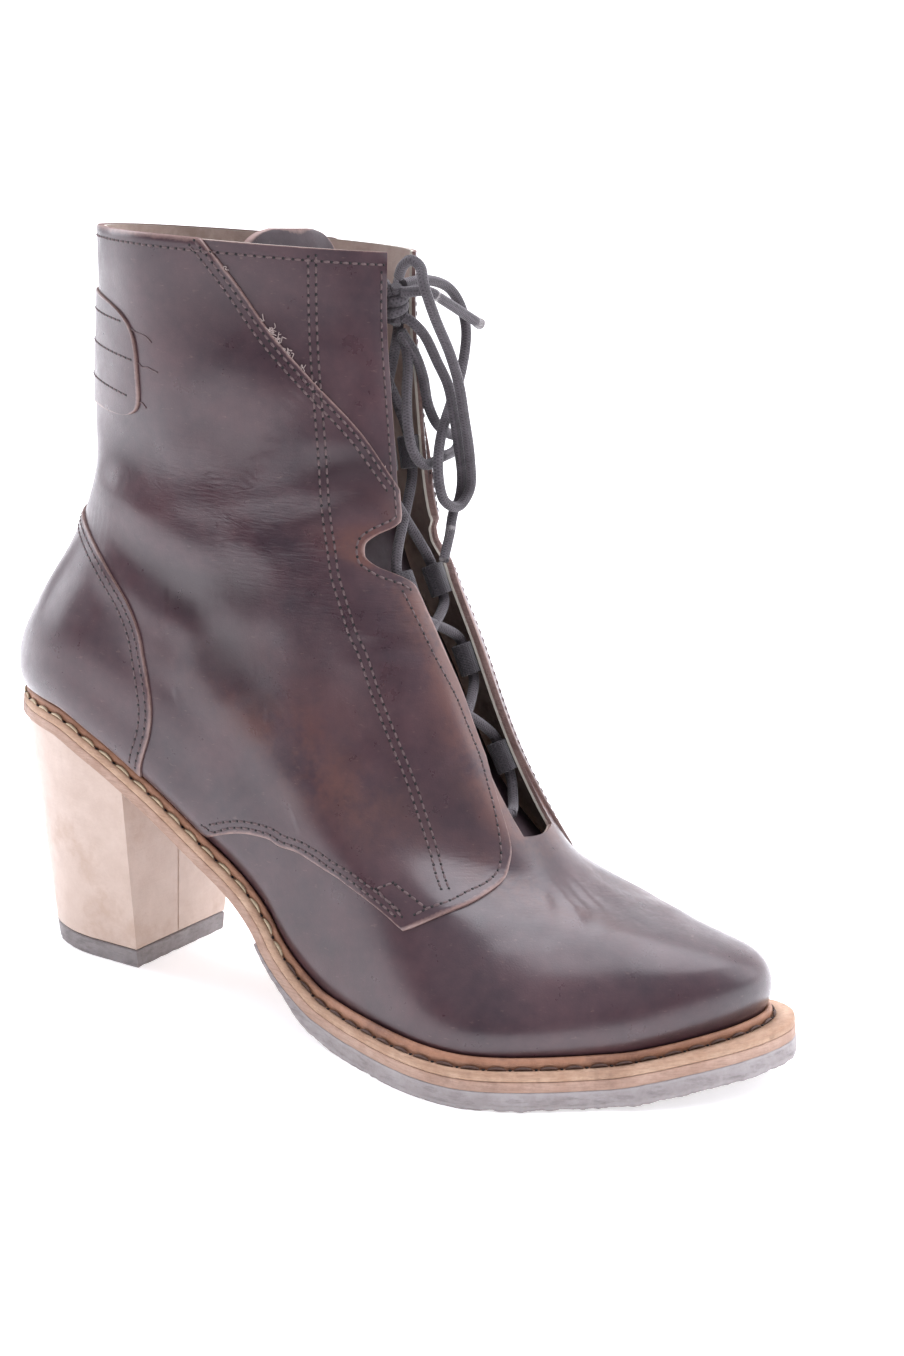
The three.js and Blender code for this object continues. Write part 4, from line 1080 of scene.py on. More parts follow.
@dataclass
class Heel:
    """The block heel and its rubber lift."""

    bottom: Bottom
    length: float = 54.0
    inset: float = 1.6
    tread_length: float = 41.0
    tread_width: float = 45.5
    tread_back: float = 12.7
    tread_shift: float = -1.9
    back_rake: float = 0.21
    breast_rake: float = 0.04
    side_splay: float = 0.25
    lift: float = 5.6
    round_share: float = 0.62
    seam: float = 0.46
    seam_half: float = 0.007
    seam_depth: float = 0.7

    def shares(self) -> Array:
        """Shares of the way from the back to the breast, closer together at the back and the corner."""
        end = math.acos(1 - 2 * self.length / self.bottom.last.length)
        self.turns = np.linspace(0, 1, 46) ** 0.9 * end
        return (1 - np.cos(self.turns)) / (1 - math.cos(end))

    def tread(self, z: float) -> Array:
        """Outline of the heel near the floor, from the back round one side and back round the other."""
        shares = self.shares()
        back = self.tread_back - self.back_rake * z
        breast = self.tread_back + self.tread_length - self.breast_rake * z
        half = (self.tread_width + self.side_splay * z) / 2
        reach = np.minimum(shares / self.round_share, 1)
        x = back + (breast - back) * shares
        y = half * np.sqrt(1 - (1 - reach) ** 2)
        points = np.stack([x, self.tread_shift - y, np.full_like(x, z)], 1)
        other = points[:0:-1] * [1, -1, 1] + [0, 2 * self.tread_shift, 0]
        return np.concatenate([points, other])

    def seat(self) -> Array:
        """Outline of the heel where it meets the outsole."""
        self.shares()
        turns = np.concatenate([self.turns, 2 * np.pi - self.turns[:0:-1]])
        return self.bottom.point(turns, self.bottom.edge(turns) - self.inset, self.bottom.rubber_top)

    def _loft(self, name: str, low: Array, high: Array, material: Material,
              levels: Array, chamfer: float, ragged: float, seam: bool) -> Piece:
        """Joins two outlines with slightly rounded rims and a breast corner.

        Args:
            name: Name of the piece.
            low: Lower outline.
            high: Upper outline, point by point with low.
            material: Its finish.
            levels: Shares of the way up for the rows between the rims.
            chamfer: Size of the rounded rims in millimetres.
            ragged: How uneven the lower rim is, in millimetres.
            seam: Whether the breast has an upright seam.

        Returns:
            The closed piece.
        """
        data = MeshData()
        breast = len(low) // 2
        across = np.linspace(0, 1, 16)[1:-1]
        dent = np.zeros(len(across) + 3)
        if seam:
            groove = self.seam + self.seam_half * np.array([-1, 0, 1])
            across = np.sort(np.append(across, groove))
            dent = np.where(across == self.seam, self.seam_depth, 0.0)

        def outline(loop: Array, shrink: float) -> Array:
            """The outline with the breast filled in, drawn in by shrink."""
            a, b = loop[breast], loop[breast + 1]
            fill = a + (b - a) * across[:, None]
            fill[:, 0] -= dent[:len(fill)]
            whole = np.concatenate([loop[:breast + 1], fill, loop[breast + 1:]])
            middle = whole.mean(0)
            away = (whole - middle) * [1, 1, 0]
            reach = np.linalg.norm(away, axis=1, keepdims=True)
            return whole - away / reach * shrink

        height = np.linalg.norm(high.mean(0) - low.mean(0))
        rows = [(0.0, chamfer), (chamfer / height, 0.0), *((t, 0.0) for t in levels),
                (1 - chamfer / height, 0.0), (1.0, chamfer)]
        rings = []
        for share, shrink in rows:
            ring = outline(low, shrink) * (1 - share) + outline(high, shrink) * share
            if ragged:
                lump = rough(ring, 2.5, 5) * ragged * (1 - share) ** 2
                ring = ring + np.stack([lump * .6, lump * .6, np.maximum(-lump, 0) * (share == 0)], 1)
            tones = np.zeros(ring.shape)
            tones[:, 0] = share
            tones[:, 1] = 1.0 if shrink else 0.0
            rings.append(data.add_points(ring, tones))
        index = np.array(rings)
        index = np.hstack([index, index[:, :1]])
        data.add_grid(index)
        data.add_fan(index[0, :-1], flip=True)
        data.add_fan(index[-1, :-1])
        return data.build(name, [material], 35)

    def build_block(self, material: Material) -> Piece:
        """The leather-covered block."""
        return self._loft("boot_heel_block", self.tread(self.lift + GAP), self.seat(), material,
                          np.linspace(.04, .96, 14), 0.35, 0, True)

    def build_lift(self, material: Material) -> Piece:
        """The rubber lift under it."""
        return self._loft("boot_heel_lift", self.tread(0), self.tread(self.lift), material,
                          np.linspace(.15, .85, 5), 0.4, 0.35, False)


@dataclass
class Tongue:
    """The tongue behind the throat."""

    drape: Drape
    thickness: float = 2.0
    lean: float = 35.0
    crown: float = 6.0
    curl: float = 0.5
    shoulder_row: int = 8
    # Height share, then shares of lean, of half the collar's width and of crown.
    table: tuple[tuple[float, float, float, float], ...] = (
        (.4, .13, .5, .83), (.46, .18, .56, .83), (.52, .285, .6, .92), (.6, .357, .64, 1), (.7, .43, .68, 1),
        (.8, .543, .71, .92), (.9, .743, .73, .83), (.97, .9, .72, .67), (.99, .95, .7, .6),
        (1.003, .98, .62, .5), (1.011, 1, .48, .35), (1.015, 1.01, .3, .25),
    )

    def build(self, material: Material) -> Piece:
        """Makes the tongue, kept inside the lining."""
        last = self.drape.last
        table = np.array(self.table)
        setback, half, crown = (SteadyCurve(table[:, [0, k]]) for k in (1, 2, 3))
        foot, shoulder, top = table[[0, self.shoulder_row, -1], 0]
        heights = np.concatenate([np.linspace(foot, shoulder, 90), np.linspace(shoulder, top, 26)[1:]])
        across = np.linspace(-1, 1, 61)
        across = np.insert(across, [1, -1], [-.985, .985])
        width = self._room(heights, setback, half, crown)
        faces = []
        for depth in (0.0, self.thickness):
            share = across[None] * width[:, None]
            curl = self.curl * np.sin(heights * 38)[:, None] * share**3
            centre = last.skin(heights, np.pi)
            front = last.outward(heights, np.pi)
            reach = (setback.at(heights) * self.lean)[:, None] + depth
            reach = reach + (crown.at(heights) * self.crown)[:, None] * share**2 + curl
            rounded = 0.5 * (np.abs(across)[None] == 1) * (1 if depth == 0 else -1)
            point = centre[:, None] - front[:, None] * (reach + rounded)[..., None]
            point[..., 1] += share * (half.at(heights) * last.collar_width / 2)[:, None]
            faces.append(point)
        data = MeshData()
        edge = border_closeness(faces[0], 2.0)
        tones = np.stack([edge * 0, edge, edge * 0], -1)
        front_index, back_index = (data.add_points(face, tones) for face in faces)
        data.add_grid(front_index)
        data.add_grid(back_index, flip=True)
        data.add_band(border(front_index), border(back_index))
        return data.build("boot_tongue", [material], 60)

    def _room(self, heights: Array, setback: SteadyCurve, half: SteadyCurve, crown: SteadyCurve) -> Array:
        """Share of the tongue's width that fits inside the lining at each height.

        Args:
            heights: Height shares.
            setback: Set-back by height.
            half: Half width by height.
            crown: Crown by height.

        Returns:
            One share for each height.
        """
        last = self.drape.last
        grid_h, grid_t = np.meshgrid(np.linspace(.25, 1.09, 120), np.linspace(1.2, 2 * np.pi - 1.2, 160))
        wall = last.surface(grid_h, grid_t, -2.6).reshape(-1, 3)
        normal = last.outward(grid_h, grid_t).reshape(-1, 3)
        widths = []
        for height in heights:
            centre, front = last.skin(height, np.pi), last.outward(height, np.pi)
            share = np.linspace(1.0, 0.3, 29)
            reach = setback.at(height) * self.lean + crown.at(height) * self.crown * share**2
            point = centre - front * reach[:, None]
            point[:, 1] += share * half.at(height) * last.collar_width / 2
            near = np.linalg.norm(wall[None] - point[:, None], axis=2).argmin(1)
            outside = ((point - wall[near]) * normal[near]).sum(1)
            good = np.where(outside < 0)[0]
            widths.append(share[good[0]] if len(good) else 0.3)
        widths = np.array(widths)
        return np.convolve(np.pad(widths, 3, mode="edge"), np.ones(7) / 7, mode="valid")


class Route:
    """A smooth line through given points, evenly paced along its length."""

    def __init__(self, points: Sequence[Point]) -> None:
        """Lays a centripetal curve through the points."""
        self.points = np.asarray(points, float)

    def dense(self, step: float = 0.5) -> Array:
        """Points along the route about this many millimetres apart."""
        p = self.points
        if len(p) == 2:
            count = max(2, int(np.linalg.norm(p[1] - p[0]) / step))
            return p[0] + (p[1] - p[0]) * np.linspace(0, 1, count)[:, None]
        ends = [2 * p[0] - p[1], *p, 2 * p[-1] - p[-2]]
        fine = [self._span(*ends[i - 1:i + 3]) for i in range(1, len(ends) - 2)]
        line = np.concatenate([*fine, p[-1:]])
        run = distances(line)
        return resample(line, max(3, int(run[-1] / step)))

    @staticmethod
    def _span(a: Array, b: Array, c: Array, d: Array, count: int = 24) -> Array:
        """Centripetal span from b towards c."""
        gaps = [max(np.linalg.norm(q - p) ** 0.5, 1e-4) for p, q in ((a, b), (b, c), (c, d))]
        first = (b - a) / gaps[0] - (c - a) / (gaps[0] + gaps[1]) + (c - b) / gaps[1]
        second = (c - b) / gaps[1] - (d - b) / (gaps[1] + gaps[2]) + (d - c) / gaps[2]
        first, second = first * gaps[1], second * gaps[1]
        t = np.linspace(0, 1, count, endpoint=False)[:, None]
        cubic = 2 * b - 2 * c + first + second
        square = -3 * b + 3 * c - 2 * first - second
        return b + first * t + square * t**2 + cubic * t**3


def tube_frames(line: Array) -> tuple[Array, Array]:
    """Two directions across a line, carried along it without twist.

    Args:
        line: Points of the line.

    Returns:
        Two unit vectors for each point.
    """
    along = unit(np.gradient(line, axis=0))
    side = np.cross(along[0], [0.3, 0.2, 1.0])
    sides = []
    for direction in along:
        side = side - direction * (side @ direction)
        side = side / np.linalg.norm(side)
        sides.append(side)
    sides = np.array(sides)
    return sides, np.cross(along, sides)


def add_tube(data: MeshData, line: Array, radius: Array, sides: int = 16, slot: int = 0) -> None:
    """Adds a closed round tube along a line.

    Args:
        data: Mesh to add to.
        line: Points of its centreline.
        radius: One value, or one for each point.
        sides: Faces round it.
        slot: Material slot.
    """
    across, other = tube_frames(line)
    radius = np.broadcast_to(np.asarray(radius, float), (len(line),))
    angle = np.linspace(0, 2 * np.pi, sides + 1)
    points = line[:, None] + circles(angle, across, other) * radius[:, None, None]
    run = distances(line)
    uvs = np.stack(np.broadcast_arrays(angle[None] / (2 * np.pi), run[:, None]), -1)
    index = data.add_points(points[:, :-1], uvs=uvs[:, :-1].copy())
    index = np.hstack([index, index[:, :1]])
    data.add_grid(index, slot)
    data.add_fan(index[0, :-1], slot, flip=True)
    data.add_fan(index[-1, :-1], slot)


@dataclass
class WebbingLoops:
    """Five loops of woven tape inside each flap, which the lace runs through."""

    last: Last
    heights: tuple[float, ...] = (.535, .617, .692, .826, .95)
    set_back: float = 4.0
    length: float = 9.0
    width: float = 8.4
    depth: float = 6.0
    wall: float = 1.0
    lining: float = 1.7
    corner: float = 0.7
    soft: float = 0.25

    def frame_of(self, index: int, side: Side) -> tuple[Array, Array, Array, Array]:
        """Centre of a loop with its directions up, out of the boot and inwards.

        Args:
            index: Number of the loop from below.
            side: Which flap it is on.

        Returns:
            Centre, then the three directions.
        """
        last = self.last
        height = self.heights[index]
        first = self.heights[0]
        flaps = last.flap.at(first), last.flap.at(1.0)

        def turn_at(share: float) -> float:
            """Turn of the flap's edge, less the set-back."""
            degrees = math.radians(flaps[0] + (flaps[1] - flaps[0]) * share - self.set_back)
            return degrees if side is Side.OUTER else 2 * math.pi - degrees

        share = (height - first) / (1 - first)
        sunk_by = self.lining + GAP + self.depth / 2
        centre = last.surface(height, turn_at(share), -sunk_by)
        above = last.surface(height + .01, turn_at(share + .02), -sunk_by)
        up = unit(above - centre)
        inward = unit(np.cross(up, last.outward(height, turn_at(share))))
        return centre, up, np.cross(inward, up), inward

    def build(self, material: Material) -> Piece:
        """Makes all ten loops as one mesh."""

        def flat(wave: Array) -> Array:
            """Squares the loop's corners, as tape lies."""
            return (np.sign(wave) * np.abs(wave) ** self.corner)[:, None]

        data = MeshData()
        angle = np.linspace(0, 2 * np.pi, 40, endpoint=False)
        soft, wall = self.soft, self.wall
        section = [(-.5, -soft), (-.47, 0), *((t, 0) for t in np.linspace(-.44, .44, 9)), (.47, 0),
                   (.5, -soft), (.5, -wall + soft), (.47, -wall),
                   *((t, -wall) for t in np.linspace(.44, -.44, 9)), (-.47, -wall), (-.5, -wall + soft)]
        for index in range(len(self.heights)):
            for side in Side:
                centre, up, out, inward = self.frame_of(index, side)
                rings = []
                for along, step in section:
                    wide = self.width / 2 + step
                    deep = self.depth / 2 + step
                    ring = centre + up * along * self.length + flat(np.cos(angle)) * inward * wide
                    rings.append(ring + flat(np.sin(angle)) * out * deep)
                run = np.array([along for along, _ in section]) * self.length
                uvs = np.stack(np.broadcast_arrays(angle[None] * 3.6, run[:, None]), -1)
                grid = data.add_points(np.array(rings), uvs=uvs.copy())
                grid = np.vstack([grid, grid[:1]])
                grid = np.hstack([grid, grid[:, :1]])
                data.add_grid(grid, flip=side is Side.OUTER)
        return data.build("boot_webbing_loops", [material], 60)


@dataclass
class Lace:
    """The lace: its run through the loops, the knot, two bow loops and two tipped ends."""

    loops: WebbingLoops
    diameter: float = 3.0
    aglet: float = 3.1
    film: float = 0.12
    lead: float = 1.5
    bar_drop: float = 3.0
    knot_centre: Point = (113.2, -1.2, 202.8)
    knot_turns: float = 2.6
    # The knot's winding: reach ahead and aside, lowest level, height and tilt. Then the cords inside it.
    knot_wrap: tuple[float, ...] = (2.0, 2.3, -3.6, 7.4, 0.7)
    knot_cores: tuple[Line, ...] = (
        ((0.6, -1.0, -5.4), (0.4, 0.2, -2), (-0.2, -0.4, 2), (0.8, -2.2, 5.4)),
        ((-0.4, 1.6, -5.0), (-0.6, 0.6, -2), (0.4, 0.8, 2), (0.6, 0.8, 5.2)),
        ((-0.9, -0.6, -5.2), (-0.9, -0.6, 0), (-0.7, -0.8, 5.0)),
    )
    large_loop: Line = (
        (115, -4.1, 210.9), (117.5, -6.7, 213.9), (120.5, -7.9, 215.8), (123.3, -7.7, 214.4),
        (126, -9.5, 209.6), (128, -5.6, 200.9), (129.7, 1.4, 191), (130.8, 6.1, 182.3), (131.6, 8.9, 173.8),
        (131.8, 14.2, 161.3), (131.2, 16.9, 152.1), (130.2, 12.9, 147.4), (129, 5.8, 149.7),
        (127.9, 2.9, 158.6), (125.7, 7.3, 167), (123.5, 15.4, 174.9), (122.3, 22, 181.8), (121, 26.7, 190),
        (120, 28.2, 196.1), (118.5, 27, 202), (117.3, 21.7, 207.1), (116.3, 13.2, 209.4), (115.3, 4.6, 209.4),
        (114.6, -0.8, 208.6),
    )
    small_loop: Line = (
        (114.5, 0.1, 195.7), (115.8, 1.6, 193), (117.2, 4.2, 189.4), (118.2, 7.9, 183.2),
        (119.3, 10.1, 175.3), (120.3, 14.4, 169.5), (120.8, 21.8, 166.1), (121.2, 26.8, 164.9),
        (121.3, 25.8, 162.1), (123.6, 13, 160.6), (123.8, 1.9, 159.5), (122.8, -3.2, 163.6),
        (121.4, -4.5, 170.3), (118.4, -1.1, 178.9), (116, 2.5, 187.4), (114.2, 2.7, 193.1), (113.5, 2, 194.4),
    )
    long_end: Line = (
        (115.5, -0.6, 199.7), (117.5, 0.6, 198.5), (120, 3.5, 195.1), (123.5, 5.7, 188.1),
        (126.2, 8.2, 181.6), (127.8, 10.1, 173.3), (128.2, 13.9, 163.7), (128, 17.7, 154.1),
        (127.7, 17.4, 148.3), (128, 14.2, 145.8), (129, 11.2, 141.7),
    )
    long_aglet: Line = ((129.2, 10.9, 141.2), (131.5, 3.8, 133.1))
    short_end: Line = (
        (115.5, -2.7, 206.6), (117.5, -2.3, 206.8), (119.5, -2, 207.2), (122, -1.5, 207.5), (123.2, 0.4, 207),
    )
    short_aglet: Line = ((123.5, 1.1, 206.7), (125.5, 26.1, 197.9))

    def _strand(self, first: Side) -> Array:
        """Route of one half of the lacing, up through its loops to the knot."""
        loops = self.loops
        reach = loops.length / 2 + self.lead
        points: list[Array] = []
        sides = [first, Side.OUTER if first is Side.INNER else Side.INNER]
        for index in range(len(loops.heights)):
            centre, up, _, _ = loops.frame_of(index, sides[index % 2])
            if index == 0:
                start = centre - up * (reach + self.bar_drop)
                depth = loops.lining + GAP + loops.depth / 2
                middle = loops.last.surface(loops.heights[0] - .035, math.pi, -depth)
                points.append(np.array([middle[0], -np.sign(start[1]) * .8, middle[2]]))
                points.append(np.array([middle[0] * .4 + start[0] * .6, start[1] * .6, middle[2] + .5]))
            points += [centre - up * reach, centre, centre + up * reach]
        last = points[-1]
        knot = self.knot_centre
        end = np.array([knot[0] - .5, knot[1] + (3 if last[1] > 0 else -1), knot[2] + 1])
        middle = [(last[0] + end[0]) / 2 - .3, last[1] + (end[1] - last[1]) * .55, last[2] + 1.5]
        return Route([*points, middle, end]).dense()

    def build_lacing(self, material: Material) -> Piece:
        """The laced part, inside the throat."""
        data = MeshData()
        for side in Side:
            add_tube(data, self._strand(side), self.diameter / 2)
        return data.build("boot_lacing", [material])

    def build_knot(self, material: Material) -> Piece:
        """The knot: turns of the cord drawn tight round the strands."""
        data = MeshData()
        centre = np.array(self.knot_centre)
        t = np.linspace(0, 1, 90)
        turn = t * 2 * np.pi * self.knot_turns
        ahead, aside, low, tall, tilt = self.knot_wrap
        wrap = np.stack([ahead * np.cos(turn), aside * np.sin(turn), low + tall * t + tilt * np.sin(turn)], 1)
        add_tube(data, centre + wrap, self.diameter / 2)
        for core in self.knot_cores:
            add_tube(data, Route(centre + np.array(core)).dense(), self.diameter / 2)
        return data.build("boot_lace_knot", [material])

    def build_cord(self, name: str, points: Sequence[Point], material: Material,
                   with_pieces: Sequence[Piece] = (),
                   tip: Sequence[Point] = ()) -> Piece:
        """A free stretch of the lace, as a piece of its own.

        Args:
            name: Name of the piece.
            points: Its given route.
            material: Its finish.
            with_pieces: Pieces on it.
            tip: Route inside the aglet, where there is one.

        Returns:
            The cord.
        """
        line = Route([*points, *tip]).dense(0.6)
        radius = np.full(len(line), self.diameter / 2)
        if len(tip):
            run = distances(line)
            start = run[np.linalg.norm(line - np.array(tip[0]), axis=1).argmin()]
            radius = np.where(run > start, self.aglet / 2 - self.film, radius)
            radius = np.convolve(np.pad(radius, 2, mode="edge"), np.ones(5) / 5, mode="valid")
        data = MeshData()
        add_tube(data, line, radius, 14)
        piece = data.build(name, [material])
        to_row(line[0])
        to_row(line).tolist()
        list(with_pieces)
        return piece

    def build_aglet(self, name: str, points: Sequence[Point], material: Material,
                    flare: float) -> Piece:
        """The film wound round an end of the lace, slightly open at its tip.

        Args:
            name: Name of the piece.
            points: Its route.
            material: Its finish.
            flare: How far the tip opens.

        Returns:
            The piece.
        """
        line = Route(points).dense(0.5)
        share = np.linspace(0, 1, len(line))
        radius = self.aglet / 2 * (1 - .12 * smoothstep(0, .2, share))
        radius = radius * (1 + flare * smoothstep(.86, 1, share))
        data = MeshData()
        add_tube(data, line, radius, 14)
        return data.build(name, [material])


@dataclass
class Stitch:
    """Size of one stitch of thread, in millimetres."""

    pitch: float = 2.6
    length: float = 1.9
    radius: float = 0.33
    arch: float = 0.18
    sunk: float = 0.14
    hole: float = 0.42


@dataclass
class Sewing:
    """Rows of stitches that follow lines on the leather."""

    drape: Drape
    stitch: Stitch = field(default_factory=Stitch)

    def aside(self, line: Array, away: float) -> Array:
        """A line of (height, degrees) pairs moved sideways on the skin.

        Args:
            line: Pairs of height share and degrees.
            away: Millimetres to the left of the way the line runs, seen from outside.

        Returns:
            The moved pairs.
        """
        last = self.drape.last
        height, turn = line[:, 0].copy(), np.radians(line[:, 1])
        points = last.skin(height, turn)
        along = unit(np.gradient(points, axis=0))
        normal = last.outward(height, turn)
        target = points + unit(np.cross(normal, along)) * away
        for _ in range(4):
            d = 1e-4
            here = last.skin(height, turn)
            by_height = (last.skin(height + d, turn) - here) / d
            by_turn = (last.skin(height, turn + d) - here) / d
            miss = target - here
            pairs = (by_height, by_height), (by_height, by_turn), (by_turn, by_turn)
            a, b, c = ((u * v).sum(1) for u, v in pairs)
            p, q = (by_height * miss).sum(1), (by_turn * miss).sum(1)
            det = np.maximum(a * c - b * b, 1e-9)
            height, turn = height + (c * p - b * q) / det, turn + (a * q - b * p) / det
        return np.stack([height, np.degrees(turn)], 1)

    def laid(self, line: Array, offset: float | None, away: float = 0.0) -> tuple[Array, Array]:
        """Points of a line on the leather, and the directions out of it.

        Args:
            line: Pairs of height share and degrees.
            offset: Offset of the leather's face from the last; None for the quarter or the base,
                whichever is on top.
            away: Millimetres to the left of the line.

        Returns:
            The points and a unit vector for each.
        """
        smooth = SteadyCurve(list(enumerate(line[:, 0]))), SteadyCurve(list(enumerate(line[:, 1])))
        dense = np.stack([curve.at(np.linspace(0, len(line) - 1, 12 * len(line))) for curve in smooth], 1)
        if away:
            dense = self.aside(dense, away)
        height, degrees = dense.T
        if offset is None:
            offset = np.where(height < self.drape.last.diagonal.at(np.abs(degrees)), 1.0, 0.0)
        turn = np.radians(degrees)
        points, _ = self.drape.lay(np.stack([height, turn], 1), np.zeros(len(turn)) + offset)
        return points, self.drape.last.outward(height, turn)

    def strand(self, data: MeshData, line: Array, offset: float | None, radius: float) -> None:
        """Adds a loose thread along a line of (height, degrees) pairs.

        Args:
            data: Mesh to add to.
            line: The pairs.
            offset: As for laid.
            radius: Half its thickness.
        """
        points, normal = self.laid(line, offset)
        add_tube(data, resample(points + normal * radius * .6, 16), radius, 5)

    def row(self, data: MeshData, line: Array, offset: float | None, away: float = 0.0) -> None:
        """Adds one row of stitches with their holes.

        Args:
            data: Mesh to add to.
            line: As for laid.
            offset: As for laid.
            away: As for laid.
        """
        points, normal = self.laid(line, offset, away)
        run = distances(points)
        count = int(run[-1] / self.stitch.pitch)
        if count < 1:
            return
        start = (run[-1] - count * self.stitch.pitch) / 2

        def at(distance: Array, values: Array) -> Array:
            """Values along the row."""
            return np.stack([np.interp(distance, run, column) for column in values.T], 1)

        middle = start + (np.arange(count) + .5) * self.stitch.pitch
        self.threads(data, at(middle, points), at(middle + .4, points) - at(middle - .4, points),
                     at(middle, normal))
        ends = start + np.arange(count + 1) * self.stitch.pitch
        self.holes(data, at(ends, points), at(ends, normal))

    def threads(self, data: MeshData, centre: Array, along: Array, normal: Array,
                tone: Array | float = 0.0) -> None:
        """Adds a short rounded thread at each centre.

        Args:
            data: Mesh to add to.
            centre: Middle of each stitch.
            along: The way it lies.
            normal: The way out of the leather.
            tone: Colour values.
        """
        size = self.stitch
        along = unit(along)
        across = unit(np.cross(normal, along))
        normal = np.cross(along, across)
        angle = np.linspace(0, 2 * np.pi, 6, endpoint=False)
        rings = []
        for share in (-1.0, -.82, -.3, .3, .82, 1.0):
            width = size.radius * (1 - abs(share) ** 5 * .8)
            rise = size.arch * (1 - share**2) - size.sunk - (.2 if abs(share) == 1 else 0)
            spot = centre + along * share * size.length / 2 + normal * rise
            ring = spot[:, None] + np.cos(angle)[None, :, None] * across[:, None] * width
            rings.append(ring + np.sin(angle)[None, :, None] * normal[:, None] * width * .85)
        points = np.stack(rings, 1)
        tones = np.zeros(points.shape) + tone
        index = data.add_points(points, tones)
        index = np.concatenate([index, index[:, :, :1]], 2)
        data.add_quads(index[:, :-1, :-1], index[:, :-1, 1:], index[:, 1:, 1:], index[:, 1:, :-1])
        data.add_hexagons(index[:, 0], flip=True)
        data.add_hexagons(index[:, -1])

    def holes(self, data: MeshData, centre: Array, normal: Array) -> None:
        """Adds a flat dark lens at each needle hole, painted shade for the hole's dark inside.

        Args:
            data: Mesh to add to.
            centre: Middle of each hole.
            normal: The way out of the leather.
        """
        size = self.stitch
        side = unit(np.cross(normal, [0.2, 0.3, 1.0]))
        other = np.cross(normal, side)
        angle = np.linspace(0, 2 * np.pi, 6, endpoint=False)
        ring = circles(angle, side, other)
        top = data.add_points(centre[:, None] + ring * size.hole + normal[:, None] * .03)
        low = data.add_points(centre[:, None] + ring * size.hole * .6 - normal[:, None] * .25)
        data.add_hexagons(top, 1)
        data.add_hexagons(low, 1, flip=True)
        data.add_band(top, low, 1)


def mirror(line: Array) -> Array:
    """The same line on the boot's inner side, run backwards so that left stays left."""
    return line[::-1] * [1, -1]


